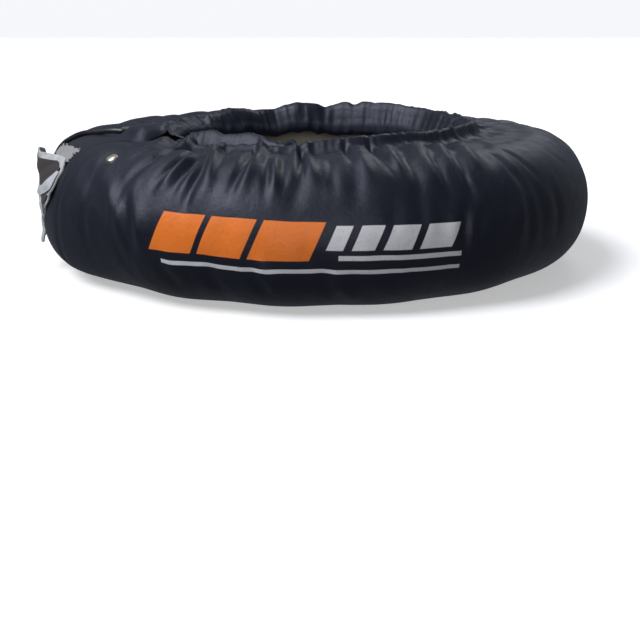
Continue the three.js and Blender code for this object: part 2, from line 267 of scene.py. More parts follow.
# ------------------------------------------------------------------ the mains lead
LEAD_D = 6.5
COIL = dict(x=-107.0, y=376.0, low=1.6, pitch=6.7, mean=34.2)
OUTER, INNER = COIL["mean"] + COIL["pitch"] / 2, COIL["mean"] - COIL["pitch"] / 2
ENTRY, EXIT = -58.0, -54.0
COIL_Z = COIL["low"] + LEAD_D / 2 + 0.15
LEAVE = np.array([-math.sin(math.radians(EXIT)), math.cos(math.radians(EXIT))])

ROUTE = [
    (-218.1, -63.8, 155.2), (-233.5, -57.3, 155.0), (-251.4, -47.9, 152.3), (-268.9, -36.8, 149.5),
    (-286.2, -25.0, 142.0), (-298.8, -13.6, 133.2), (-308.6, -3.8, 121.1), (-316.0, 4.4, 108.3),
    (-321.2, 11.2, 90.3), (-322.7, 17.5, 78), (-321.9, 23.6, 60), (-319.1, 30.7, 43),
    (-317.1, 39.5, 28), (-315.3, 52.2, 15), (-313.1, 68.8, 7), (-309.6, 87.6, 3.65),
    (-300.6, 115.4, 3.65), (-286.9, 146.2, 3.65), (-270.1, 175.4, 3.65), (-250.2, 202.6, 3.65),
    (-227.7, 227.7, 3.65), (-205.1, 248.8, 3.65),
]


def lead_points():
    pts = [np.array(p, float) for p in ROUTE]
    e = math.radians(ENTRY)
    t = np.array([-math.sin(e), math.cos(e)])
    touch = np.array([COIL["x"] + OUTER * math.cos(e), COIL["y"] + OUTER * math.sin(e)])
    for back in (84, 56, 29, 0):
        q = touch - back * t
        pts.append(np.array([q[0], q[1], 3.65 + (COIL_Z - 3.65) * (1 - back / 84)]))
    turns = [(OUTER, 0), (INNER, 0), (INNER, 1), (OUTER, 1), (INNER, 2), (OUTER, 2)]
    per, total = 18, 6 + (EXIT - ENTRY) / 360
    for j in range(1, int(round(total * per)) + 1):
        u = j / per
        i = min(int(u), 5)
        f = u - i
        r, level = turns[i]
        if i < 5 and f > 0.75:
            w = float(smooth(f, 0.75, 1.0))
            r = r * (1 - w) + turns[i + 1][0] * w
            level = level * (1 - w) + turns[i + 1][1] * w
        a = math.radians(ENTRY + 360 * u)
        pts.append(np.array([COIL["x"] + r * math.cos(a), COIL["y"] + r * math.sin(a), COIL_Z + level * COIL["pitch"]]))
    end = pts[-1]
    for d, z in ((14, 18.1), (29, 17.0), (38, 15.2), (50, 12.0), (60, 9.9), (70, 9.2), (81, 9.2)):
        pts.append(np.array([end[0] + d * LEAVE[0], end[1] + d * LEAVE[1], z]))
    return pts


LEAD = lead_points()


def curve_length(points):
    return float(sum(np.linalg.norm(b - a) for a, b in zip(points, points[1:])))


def cord_curve(name, points, diameter, mat, steps=6):
    data = bpy.data.curves.new(name, "CURVE")
    data.dimensions = "3D"
    data.resolution_u = steps
    data.bevel_depth = diameter / 2 * MM
    data.bevel_resolution = 5
    data.use_fill_caps = True
    s = data.splines.new("BEZIER")
    s.bezier_points.add(len(points) - 1)
    for b, p in zip(s.bezier_points, points):
        b.co = Vector(p) * MM
        b.handle_left_type = b.handle_right_type = "AUTO"
    data.materials.append(mat)
    return link(bpy.data.objects.new(name, data))


def cable_material():
    m, t, p = material("lead_rubber")
    v = coords(t)
    n = noise(t, v, 90, 3, 0.5)
    wire(t, ramp(t, n, [(0.3, (0.010, 0.010, 0.011)), (0.7, (0.019, 0.019, 0.021))]), p.inputs["Base Color"])
    wire(t, ramp(t, noise(t, v, 260, 3, 0.6), [(0.3, (0.24,) * 3), (0.75, (0.40,) * 3)]), p.inputs["Roughness"])
    fine = bump(t, noise(t, v, 1400, 2, 0.5), 0.15, 0.0002)
    wire(t, bump(t, n, 0.25, 0.0008, fine), p.inputs["Normal"])
    return m


M_CABLE = cable_material()
lead = cord_curve("mains_lead_cable", LEAD, LEAD_D, M_CABLE)
ride(lead, "mains_lead", "lead_coil", "lead_tail", slot="cable")


# ------------------------------------------------------------------ the ring's face
FACE = np.array([
    [178, 150.5], [205, 151.0], [240, 150.6], [270, 145.2], [287, 137.2], [298.5, 128.0],
    [309.0, 112.5], [315.4, 97], [318, 79], [316, 58], [309.5, 39], [298.8, 25.4],
    [287, 15.4], [272, 6.5], [258, 0.5], [205, 0.5], [178, 0.5],
], float)
HEM_C = (166.9, 141.6)
HEM_LOW_C = (166.9, 8.9)
OPEN_FROM, OPEN_TO = 209.0, 564.0


def spline(points, n):
    """A smooth line through points, at n even distances."""
    p = np.asarray(points, float)
    d = np.r_[0, np.cumsum(np.linalg.norm(np.diff(p, axis=0), axis=1) ** 0.5)]
    fine = np.linspace(0, d[-1], n * 12)
    out = np.zeros((len(fine), p.shape[1]))
    m = np.gradient(p, d, axis=0)
    k = np.clip(np.searchsorted(d, fine, side="right") - 1, 0, len(d) - 2)
    h = (d[k + 1] - d[k])[:, None]
    t = ((fine - d[k])[:, None]) / h
    out = ((2 * t**3 - 3 * t**2 + 1) * p[k] + (t**3 - 2 * t**2 + t) * h * m[k]
           + (-2 * t**3 + 3 * t**2) * p[k + 1] + (t**3 - t**2) * h * m[k + 1])
    s = np.r_[0, np.cumsum(np.linalg.norm(np.diff(out, axis=0), axis=1))]
    even = np.linspace(0, s[-1], n)
    return np.stack([np.interp(even, s, out[:, c]) for c in range(p.shape[1])], -1), s[-1]


def hem_wrap(centre, radius, a0, a1, n):
    a = np.radians(np.linspace(a0, a1, n))
    return np.stack([centre[0] + radius * np.cos(a), centre[1] + radius * np.sin(a)], -1)


# The sheet's section runs from the stitched end of the upper casing, under and round the elastic,
# over the top to the tread, and down to the lower casing.
R_HEM = 6.9
UP = hem_wrap(HEM_C, R_HEM, -25, -250, 12)
LOW = hem_wrap(HEM_LOW_C, R_HEM, 250, 25, 8)
SECTION = np.vstack([UP[:-1], [[170.5, 150.2]], FACE[:-1], [[170.5, 0.6]], LOW[1:]])
SECTION_LINE, SECTION_LEN = spline(SECTION, 900)
SEC_S = np.linspace(0, SECTION_LEN, 900)


def section_at(s):
    return np.interp(s, SEC_S, SECTION_LINE[:, 0]), np.interp(s, SEC_S, SECTION_LINE[:, 1])


def s_of(r, z):
    """Distance along the section of its nearest point."""
    d = (SECTION_LINE[:, 0] - r) ** 2 + (SECTION_LINE[:, 1] - z) ** 2
    return SEC_S[int(np.argmin(d))]


S_TOP = s_of(172, 150.3)  # where the casing ends and the skirt begins
S_SHOULDER = s_of(298.5, 128)
S_LOWSH = s_of(298.8, 25.4)
S_BOTTOM = s_of(172, 0.6)
say("section", round(SECTION_LEN, 1), "top", round(S_TOP, 1), "shoulder", round(S_SHOULDER, 1),
    "low shoulder", round(S_LOWSH, 1), "bottom", round(S_BOTTOM, 1))

# ---- pixels of the picture to places on the face
COS_P, SIN_P = math.cos(PITCH), math.sin(PITCH)
FOCAL = LENS / 36.0 * 640.0


def project(p):
    """Picture place of points in millimetres."""
    p = np.asarray(p, float)
    x, y, z = p[..., 0] - CAMERA[0], p[..., 1] - CAMERA[1], p[..., 2] - CAMERA[2]
    d = y * COS_P - z * SIN_P
    return np.stack([320 + FOCAL * x / d, 320 - FOCAL * (y * SIN_P + z * COS_P) / d], -1)


TOP_R = np.r_[SECTION_LINE[(SEC_S >= S_TOP) & (SEC_S <= S_LOWSH + 60)][:, 0]]
TOP_Z = np.r_[SECTION_LINE[(SEC_S >= S_TOP) & (SEC_S <= S_LOWSH + 60)][:, 1]]
TOP_S = SEC_S[(SEC_S >= S_TOP) & (SEC_S <= S_LOWSH + 60)]


def on_face(px, py, far=False):
    """The place (angle, distance along the section) that a picture place shows, on the near or the far side of the hole."""
    dirn = np.array([(px - 320) / FOCAL, 0.0, 0.0]) + np.array([0.0, COS_P, -SIN_P]) + (320 - py) / FOCAL * np.array([0.0, SIN_P, COS_P])
    t = np.linspace(950, 1900, 3801)
    p = np.array(CAMERA)[None] + t[:, None] * dirn[None]
    r, z = np.hypot(p[:, 0], p[:, 1]), p[:, 2]
    upper = np.interp(z, TOP_Z[::-1], TOP_R[::-1])
    top = np.interp(r, TOP_R[:int(np.argmax(TOP_R))], TOP_Z[:int(np.argmax(TOP_R))])
    inside = (z < top) & (r < upper) & (r > 165) & (z > -3)
    if far:
        inside &= p[:, 1] > -40
    k = np.flatnonzero(inside)
    if len(k) == 0:
        # past the outline: the place where the ray comes nearest
        gap = np.maximum(np.maximum(z - top, r - upper), 165 - r)
        if far:
            gap = np.where(p[:, 1] > -40, gap, 1e6)
        k = [int(np.argmin(gap))]
    q = p[k[0]]
    rr, zz = math.hypot(q[0], q[1]), q[2]
    ang = math.degrees(math.atan2(q[1], q[0])) % 360
    if ang < 206.5:
        ang += 360
    d = (TOP_R - rr) ** 2 + (TOP_Z - zz) ** 2
    return ang, float(TOP_S[int(np.argmin(d))])


# ------------------------------------------------------------------ the fabric's grid
NU, NV = ((697, 137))
NU_F, NV_F = 697, 137
RNG = np.random.default_rng(11)


def spread(n, weight):
    """n places from 0 to 1, closer together where weight is high."""
    x = np.linspace(0, 1, 4001)
    c = np.r_[0, np.cumsum((weight(x[1:]) + weight(x[:-1])) / 2)]
    return np.interp(np.linspace(0, c[-1], n), c, x)


# finer at the front than at the back; fine over the upper skirt, coarse below
PHI_F = OPEN_FROM + (OPEN_TO - OPEN_FROM) * spread(NU_F, lambda x: 1.0 + 0.55 * np.exp(-(((x * 355 + 209) - 265) / 75) ** 2))


def row_weight(x):
    s = x * SECTION_LEN
    w = np.where(s < S_TOP, 1.5, np.where(s < S_SHOULDER, 1.35, np.where(s < S_LOWSH + 10, 1.0, 0.52)))
    return w


S_F = SECTION_LEN * spread(NV_F, row_weight)
J_TOP = int(np.searchsorted(S_F, S_TOP))
J_BOTTOM = int(np.searchsorted(S_F, S_BOTTOM))
say("rows", J_TOP, J_BOTTOM)

# ---- how the hem rides up and down and in and out along the ring, by picture place at the front
_hp = np.radians(np.linspace(180.5, 359.5, 400))
_hx = project(np.stack([163 * np.cos(_hp), 163 * np.sin(_hp), np.full(400, 146.0)], -1))[:, 0]


def hem_phi(px):
    return float(np.interp(px, _hx, np.degrees(_hp)))


HEM_WAVE = [  # place, up, out
    (193, 1, 0), (202, 4, 1), (212, 9, 1), (220, 9, 0), (229, 3, 0), (237, 5, -2), (250, 8, -3), (261, 8, -3),
    (268, 3, 2), (278, -1, 7), (289, -4, 9), (292, 1, 4), (296, 5, 1), (301, -9, 8), (306, -6, 6), (313, 1, 1), (328, 1, 0), (345, 2, 0),
    (358, 3, -2), (372, 1, 0), (388, 4, -2), (402, 4, 0), (420, 3, -1), (440, 2, 1), (458, 2, 0), (468, 1, 0),
]
_wp = np.array([hem_phi(w[0]) for w in HEM_WAVE])
BACK_WAVE = [(12, 1, 1), (25, 3, -2), (38, 0, 2), (52, 4, -3), (63, 1, 2), (72, 3, -2), (80, -2, 3), (90, 5, -3), (101, 5, -4),
             (110, -3, 4), (116, 3, -2), (126, 4, -3), (133, -2, 3), (143, 4, -2), (155, 2, 1), (168, 4, -1), (180, 2, 1), (192, 4, 0)]
_all = [(p, w[1], w[2]) for p, w in zip(_wp, HEM_WAVE)] + [(p + 360, a, b) for p, a, b in BACK_WAVE]
_all = sorted(_all)
_ap = np.array([a[0] for a in _all])


def hem_shift(phi):
    up = np.interp(phi, _ap, [a[1] for a in _all])
    out = np.interp(phi, _ap, [a[2] for a in _all])
    return up, out


HEM_UP, HEM_OUT = hem_shift(PHI_F)
k = np.exp(-np.linspace(-2, 2, 9) ** 2)
k /= k.sum()
HEM_UP = np.convolve(np.pad(HEM_UP, 4, "edge"), k, "valid")
HEM_OUT = np.convolve(np.pad(HEM_OUT, 4, "edge"), k, "valid")
k2 = np.exp(-np.linspace(-2, 2, 31) ** 2)
k2 /= k2.sum()
_soft = smooth(PHI_F, 345, 365)
HEM_UP = HEM_UP * (1 - _soft) + _soft * np.convolve(np.pad(HEM_UP, 15, "edge"), k2, "valid")
HEM_OUT = HEM_OUT * (1 - _soft) + _soft * np.convolve(np.pad(HEM_OUT, 15, "edge"), k2, "valid")
HEM_UP = HEM_UP - 4.0 - np.interp(PHI_F, [209, 236, 252, 262, 285, 340, 400, 470, 520, 564], [3, 0, 2, 5, 11, 12, 7.0, 6.5, 2, 0])

FOLD_GAIN = 1.45
WAVE_GAIN = 1.15
# ---- folds: (points in the picture, depth at the start, depth at the end, half width), negative is a valley
FOLDS = [
    # the twisted loop of hem and the fan of creases below it
    ([(188, 150), (198, 140), (212, 131), (224, 135)], 7, 7, 6),
    ([(224, 137), (220, 147), (209, 155), (196, 166)], 6, 3, 6),
    ([(172, 152), (188, 149), (203, 151)], -9, -10, 9),
    ([(206, 150), (188, 160), (168, 175), (149, 192)], -8, -3, 5),
    ([(208, 153), (194, 168), (176, 186), (157, 203)], -7, -2, 5),
    ([(200, 160), (180, 172), (160, 190)], 4, 2, 6),
    ([(212, 154), (203, 172), (192, 190), (183, 210)], -6, -2, 5),
    ([(176, 150), (160, 160), (140, 172), (122, 190)], -4, -2, 6),
    ([(170, 140), (152, 150), (130, 160)], 5, 2, 8),
    ([(219, 150), (214, 168), (207, 188)], 4, 1, 6),
    ([(226, 148), (224, 160), (219, 178)], -5, -1, 4),
    ([(150, 126), (158, 134), (170, 140)], 5, 3, 8),
    ([(118, 138), (128, 142), (142, 150), (150, 162)], -4, -2, 6),
    ([(160, 122), (172, 130), (184, 140)], -5, -3, 6),
    # middle of the front
    ([(257, 149), (251, 160), (241, 176), (226, 201)], -7, -2, 5),
    ([(264, 147), (258, 160), (248, 178), (236, 200)], 4, 1, 6),
    ([(268, 158), (268, 176), (266, 196)], -3, -1, 4),
    ([(283, 160), (284, 174), (283, 190)], -3, -1, 4),
    ([(276, 160), (276, 178), (274, 196)], 3, 1, 5),
    ([(297, 142), (297, 150), (296, 162)], 5, 2, 5),
    ([(301, 150), (302, 160), (301, 172), (300, 184)], -9, -2, 4),
    ([(308, 158), (312, 170), (316, 186)], 3, 1, 6),
    ([(330, 160), (332, 174), (334, 190)], -2, -1, 5),
    ([(345, 150), (349, 159), (353, 168)], -6, -1, 4),
    ([(356, 150), (362, 164), (369, 180)], 4, 1, 6),
    ([(370, 149), (376, 156), (385, 165), (396, 177)], -7, -2, 5),
    ([(384, 150), (393, 162), (404, 178)], 4, 1, 6),
    # right of the front
    ([(398, 148), (405, 162), (414, 178), (426, 198)], -3.5, -1.5, 6),
    ([(412, 148), (420, 160), (430, 176), (440, 192)], 3, 2, 9),
    ([(424, 147), (432, 160), (439, 174), (446, 190)], -5, -2, 4),
    ([(434, 146), (443, 158), (454, 176)], 2, 1.5, 7),
    ([(443, 145), (451, 157), (461, 176), (471, 202)], -7, -3, 5),
    ([(454, 143), (466, 158), (478, 176)], 4, 2, 5),
    ([(464, 141), (476, 155), (488, 170)], -3, -1, 6),
    ([(470, 140), (488, 154), (508, 172), (526, 192)], -5, -2, 5),
    ([(474, 136), (498, 150), (522, 166), (546, 186)], -5, -1, 4),
    ([(476, 133), (505, 145), (533, 158)], -2.5, -1, 6),
    ([(476, 130), (508, 138), (538, 149), (566, 166)], -5, -1, 4),
    ([(474, 127), (505, 131), (535, 138), (560, 150)], -4, -1, 4),
    # the long creases down the right of the tread
    ([(480, 180), (471, 198), (465, 216), (464, 236), (467, 254), (471, 272)], -2.6, -2.2, 7),
    ([(490, 186), (481, 204), (475, 222), (474, 246)], -2.2, -1.6, 6),
    ([(485, 182), (476, 201), (470, 220), (469, 242), (472, 262)], 2.6, 1.6, 5),
    ([(459, 196), (453, 214), (451, 234)], 1.6, 1, 7),
    ([(500, 192), (503, 214), (499, 240)], -2, -1.2, 9),
    ([(512, 186), (518, 206), (517, 236)], 1.6, 1, 8),
    ([(530, 184), (539, 206), (540, 230)], -2, -1, 9),
    ([(398, 200), (392, 216), (391, 232)], -1.4, -0.8, 8),
    ([(430, 200), (428, 214), (432, 236)], 1.2, 0.8, 8),
    ([(232, 214), (222, 236), (220, 262)], -1.2, -1, 10),
    ([(140, 196), (132, 222), (134, 250)], -1.6, -1, 10),
    ([(112, 190), (106, 216), (108, 244)], 1.4, 1, 10),
    ([(54, 168), (58, 184), (62, 205)], -3.6, -2.4, 4),
    ([(71, 172), (67, 188), (62, 206)], -3.6, -2.4, 4),
    ([(90, 188), (86, 206), (88, 226)], -1.8, -1, 7),
    # along the lower edge
    ([(158, 258), (168, 268), (180, 279)], -4.0, -3, 5),
    ([(168, 256), (178, 266), (190, 276)], 2.2, 1, 6),
    ([(118, 246), (128, 258), (142, 270)], -2.2, -1, 7),
    ([(246, 262), (257, 275), (271, 290)], -4.0, -3, 5),
    ([(259, 262), (270, 276), (282, 289)], 2.4, 1.4, 6),
    ([(205, 268), (216, 280), (230, 292)], -1.8, -1, 7),
    ([(318, 277), (331, 288), (346, 299)], -4.0, -3, 5),
    ([(332, 276), (345, 286), (360, 297)], 2.2, 1.4, 6),
    ([(350, 282), (370, 290), (394, 299)], -4.0, -3, 5),
    ([(404, 270), (419, 280), (434, 289)], -2.2, -1.4, 7),
    ([(444, 262), (458, 270), (474, 278)], -1.8, -1, 7),
    ([(96, 170), (104, 190), (108, 214)], -1.6, -1, 12),
    ([(86, 168), (98, 184), (106, 204), (108, 228)], -4.4, -3.0, 7),
    ([(100, 172), (113, 190), (121, 212), (122, 236)], 3.2, 2.0, 8),
    ([(118, 182), (128, 200), (133, 222), (131, 246)], -4.4, -3.0, 6),
    ([(132, 200), (142, 222), (146, 246)], 3.0, 2.0, 7),
    ([(78, 196), (82, 214), (90, 236)], -3.8, -2.6, 5),
    ([(250, 236), (262, 254), (278, 272)], -2.4, -1.8, 9),
    ([(300, 246), (316, 262), (332, 278)], -2.2, -1.6, 8),
    ([(372, 240), (384, 258), (402, 276)], -2.0, -1.6, 9),
    ([(192, 244), (204, 260), (222, 278)], -2.4, -1.8, 8),
    ([(216, 176), (206, 192), (190, 206)], 2.2, 1.2, 7),
    ([(300, 178), (296, 196), (286, 212)], -2.2, -1.2, 8),
    ([(352, 172), (356, 190), (352, 208)], -2.0, -1.2, 9),
    ([(410, 186), (420, 204), (424, 224)], -2.2, -1.4, 8),
    ([(522, 200), (528, 222), (522, 246)], -2.2, -1.6, 9),
    ([(548, 186), (556, 208), (554, 232)], -1.8, -1.2, 8),
]
# the back's puffs and the notches between them: (angle, half width in degrees, height)
PUFFS = [(100, 9, 12), (128, 6.5, 11), (116, 2.4, -9), (85.5, 2.4, -9), (108, 2.5, -3), (141, 5, 5), (135, 2, -5), (153, 5, 4), (167, 6, 4),
         (78, 4.5, 9), (68, 4, 7), (73, 1.8, -5), (59, 4.5, 5), (51, 5, 4), (40, 4, 3), (28, 5, 3), (15, 6, 3)]


def fold_field(phi, s):
    """How far the seeded surface stands out from the face, in millimetres."""
    r_face, _ = section_at(s)
    rr = np.maximum(r_face, 160)[None, :]
    out = np.zeros((len(phi), len(s)))
    for pts, d0, d1, width in FOLDS:
        q = np.array([on_face(*p) for p in pts])
        # finer line
        n = 24
        t = np.linspace(0, len(q) - 1, n)
        line = np.stack([np.interp(t, range(len(q)), q[:, c]) for c in (0, 1)], -1)
        r_line, _ = section_at(line[:, 1])
        lo, hi = line[:, 0].min() - 12, line[:, 0].max() + 12
        cols = np.flatnonzero((phi > lo) & (phi < hi))
        rows = np.flatnonzero((s > line[:, 1].min() - 45) & (s < line[:, 1].max() + 45))
        if len(cols) == 0 or len(rows) == 0:
            continue
        P, S = phi[cols][:, None], s[rows][None, :]
        best = np.full((len(cols), len(rows)), 1e9)
        amp = np.zeros_like(best)
        for i in range(n - 1):
            rm = 0.5 * (r_line[i] + r_line[i + 1])
            kk = math.radians(1) * rm
            ax, ay = line[i, 0] * kk, line[i, 1]
            bx, by = line[i + 1, 0] * kk, line[i + 1, 1]
            px_, py_ = P * kk, S
            ll = (bx - ax) ** 2 + (by - ay) ** 2 + 1e-9
            u = np.clip(((px_ - ax) * (bx - ax) + (py_ - ay) * (by - ay)) / ll, 0, 1)
            d = np.hypot(px_ - ax - u * (bx - ax), py_ - ay - u * (by - ay))
            w = (i + u) / (n - 1)
            near = d < best
            best = np.where(near, d, best)
            ends = smooth(w, -0.04, 0.12) * (1 - 0.9 * smooth(w, 0.72, 1.0))
            amp = np.where(near, (d0 + (d1 - d0) * w) * ends, amp)
        wide = 0.42 if d0 < 0 else 0.0
        out[np.ix_(cols, rows)] += amp * (1.1 * np.exp(-(best / width) ** 2) - wide * np.exp(-(best / (2.3 * width)) ** 2))
    # puffs at the back, fading away from the hem
    for a, half, high in PUFFS:
        u = (phi - (a + 360)) / half
        v = np.exp(-((s - (S_TOP + 26)) / 30.0) ** 2)
        out += (0.55 * high * np.exp(-u**2))[:, None] * v[None, :]
    return out * FOLD_GAIN


def waves(phi, s):
    """Soft gathers that run out from the hem, with seeded places and lengths."""
    rng = np.random.default_rng(5)
    a = np.radians(phi)[:, None]
    d = (s - S_TOP)[None, :]
    out = np.zeros((len(phi), len(s)))
    strength = gather(phi)[:, None]
    for k_, reach, high in ((38, 95, 1.1), (53, 80, 1.0), (71, 62, 0.95), (97, 46, 0.85), (131, 34, 0.7), (173, 24, 0.55), (211, 16, 0.45)):
        for _ in range(3):
            ph, kk = rng.uniform(0, 2 * math.pi), k_ * rng.uniform(0.88, 1.12)
            lean = rng.uniform(-0.05, 0.05)
            m = 0.55 + 0.45 * np.sin(a * rng.integers(3, 9) + rng.uniform(0, 6.28))
            fall = (0.30 + 0.70 * smooth(d, 4, 24)) * smooth(d, -2, 8) * np.exp(-(np.maximum(d - 6, 0) / reach) ** 2)
            out += high * strength * m * fall * np.sin(kk * a + ph + lean * d)
    # long slow swells over tread and skirt
    for _ in range(8):
        kk, ph = rng.integers(5, 22), rng.uniform(0, 6.28)
        out += 0.80 * np.sin(kk * a + ph + rng.uniform(-0.02, 0.02) * d) * smooth(d, 0, 40)
    # the same below, at the lower hem
    e = (S_BOTTOM - s)[None, :]
    for k_, reach in ((60, 60), (88, 44), (120, 30)):
        for _ in range(2):
            ph = rng.uniform(0, 6.28)
            fall = smooth(e, -2, 6) * np.exp(-(np.maximum(e, 0) / reach) ** 2)
            out += 0.8 * fall * (0.5 + 0.5 * np.sin(a * rng.integers(3, 9))) * np.sin(k_ * a + ph)
    return out * WAVE_GAIN


def gather(phi):
    """How strong the gathers are along the ring: 0 smooth, 1 strong."""
    p = np.asarray(phi, float)
    keys = [(209, 0.7), (225, 1.0), (240, 0.6), (262, 0.45), (280, 0.3), (300, 0.6), (330, 1.0), (360, 1.15), (400, 1.1),
            (440, 1.05), (480, 1.05), (520, 1.0), (545, 0.7), (564, 0.5)]
    return np.interp(p, [k_[0] for k_ in keys], [k_[1] for k_ in keys])


LAP = 10.0  # degrees by which the strip's inner end runs on under its outer end


def angles(phi, s):
    """The strip's angle at each point: away from the hems, its last stretch runs on under the first."""
    free = smooth(s, S_TOP + 4, S_TOP + 30) * (1 - smooth(s, S_BOTTOM - 40, S_BOTTOM - 6))
    return phi[:, None] + (LAP * smooth(phi, 552, 564) * (phi > 552))[:, None] * free[None, :]


def lap_depth(phi, s):
    """How far the ends lie under or over each other."""
    free = smooth(s, S_TOP + 4, S_TOP + 30) * (1 - smooth(s, S_BOTTOM - 40, S_BOTTOM - 6))
    d = 1.5 * np.exp(-np.maximum(phi - 213, 0) / 5.0) - 1.1 * smooth(phi, 556, 563)
    return d[:, None] * free[None, :]


def section_surface(phi, s, up, out):
    """The smooth ring: the section, with its hem moved up and out along the ring."""
    r, z = section_at(s)
    near = np.where(s < S_TOP, 1.0, np.exp(-(np.maximum(s - S_TOP, 0) / 24.0) ** 2))
    R = r[None, :] + out[:, None] * near[None, :]
    Z = z[None, :] + up[:, None] * near[None, :]
    a = np.radians(angles(phi, s))
    return np.stack([R * np.cos(a), R * np.sin(a), Z + 0 * a], 0), R, Z


def section_normals(s):
    h = 1.5
    r0, z0 = section_at(np.maximum(s - h, 0))
    r1, z1 = section_at(np.minimum(s + h, SECTION_LEN))
    d = np.stack([r1 - r0, z1 - z0], -1)
    d /= np.linalg.norm(d, axis=1)[:, None]
    return np.stack([-d[:, 1], d[:, 0]], -1)  # outward: to the left of the walk


def normals_of(P):
    """Unit normals of a (3, nu, nv) grid, outward."""
    du = np.empty_like(P)
    dv = np.empty_like(P)
    du[:, 1:-1] = P[:, 2:] - P[:, :-2]
    du[:, 0], du[:, -1] = P[:, 1] - P[:, 0], P[:, -1] - P[:, -2]
    dv[:, :, 1:-1] = P[:, :, 2:] - P[:, :, :-2]
    dv[:, :, 0], dv[:, :, -1] = P[:, :, 1] - P[:, :, 0], P[:, :, -1] - P[:, :, -2]
    n = np.stack([dv[1] * du[2] - dv[2] * du[1], dv[2] * du[0] - dv[0] * du[2], dv[0] * du[1] - dv[1] * du[0]])
    return -n / (np.sqrt((n * n).sum(0)) + 1e-9)


def build_seed():
    P0, R, Z = section_surface(PHI_F, S_F, HEM_UP, HEM_OUT)
    n2 = section_normals(S_F)
    a = np.radians(angles(PHI_F, S_F))
    N = np.stack([n2[None, :, 0] * np.cos(a), n2[None, :, 0] * np.sin(a), np.repeat(n2[None, :, 1], NU_F, 0)], 0)
    free = smooth(S_F, S_TOP - 2, S_TOP + 8) * smooth(-S_F, -(S_BOTTOM + 2), -(S_BOTTOM - 8))
    # over the felt and the seam tapes the cloth can't sink in
    floor_at = -0.7 - 10.5 * (1 - smooth(S_F, S_SHOULDER - 74, S_SHOULDER - 14) * (1 - smooth(S_F, S_LOWSH + 12, S_LOWSH + 50)))
    free_ = free
    folds = fold_field(PHI_F, S_F) * smooth(S_F, S_TOP - 22, S_TOP + 2)[None, :]
    # the gathered cloth sinks behind its casing
    sink = np.interp(PHI_F, [262, 278, 290, 338, 352], [4.0, 3.0, 0.0, 0.5, 4.0])
    folds = folds - sink[:, None] * (smooth(S_F, S_TOP - 2, S_TOP + 10) * (1 - smooth(S_F, S_TOP + 34, S_SHOULDER - 30)))[None, :]
    # the line that the casing is stitched along, and its roll
    folds = folds - (0.4 + 1.3 * sink[:, None] / 4.0) * np.exp(-(((S_F - (S_TOP + 12)) / 2.2) ** 2))[None, :] + 1.6 * np.exp(-(((S_F - (S_TOP + 4)) / 5.0) ** 2))[None, :]
    # over the felt the cloth stands off a little, so that its valleys have room
    folds = folds + (3.4 * smooth(S_F, S_TOP + 30, S_SHOULDER - 14) * (1 - smooth(S_F, S_LOWSH, S_LOWSH + 70)))[None, :]
    # a fold of cloth covers the gland and the boot
    r_here = section_at(S_F)[0][None, :]
    gx = (PHI_F[:, None] - (560.2 - 0.055 * (r_here - 200))) * math.radians(1) * 205
    cover = np.exp(-(np.abs(gx) / 17.0) ** 3.0) * smooth(r_here, 172, 190) * (1 - smooth(r_here, 221, 232))
    cover = cover * (S_F < S_SHOULDER)[None, :]
    folds = folds * (1 - cover) + 15.6 * cover
    # the strip's ends are fuller low down
    for a_ in (OPEN_FROM, OPEN_TO):
        folds = folds + 8.0 * np.exp(-((PHI_F[:, None] - a_) / 12.0) ** 2 - ((S_F[None, :] - s_of(304, 31)) / 30.0) ** 2)
    # the eyelet holds the cloth down round it
    ea, es = EYELET
    flat = np.exp(-((((PHI_F[:, None] - ea) * math.radians(1) * 280) ** 2 + (S_F[None, :] - es) ** 2) / 11.0**2))
    folds = folds * (1 - flat) + lap_depth(PHI_F, S_F)
    soft = waves(PHI_F, S_F) * free[None, :] * (1 - flat) * (1 - 0.75 * cover)

    aa = np.radians(PHI_F)[:, None]
    rng = np.random.default_rng(8)
    crinkle = np.zeros((NU_F, NV_F))
    for k_, high in ((47, 0.9), (73, 0.8), (113, 0.55), (191, 0.4), (263, 0.35)):
        m_ = 0.5 + 0.5 * np.sin(aa * rng.integers(4, 12) + rng.uniform(0, 6.28))
        crinkle += high * m_ * np.sin(k_ * aa + rng.uniform(0, 6.28) + rng.uniform(-0.30, 0.30) * S_F[None, :])
    soft = soft + np.maximum(crinkle + 0.5, -0.4) * (smooth(S_F, 1, 8) * (1 - smooth(S_F, S_TOP - 2, S_TOP + 6)))[None, :]

    def above(x, low, k=1.2):
        return low + np.log1p(np.exp(np.clip((x - low) / k, -30, 30))) * k

    both = above(folds + soft, floor_at[None, :])
    folds = above(folds, floor_at[None, :])
    soft = both - folds
    return P0.astype(np.float32), N.astype(np.float32), folds.astype(np.float32), soft.astype(np.float32)


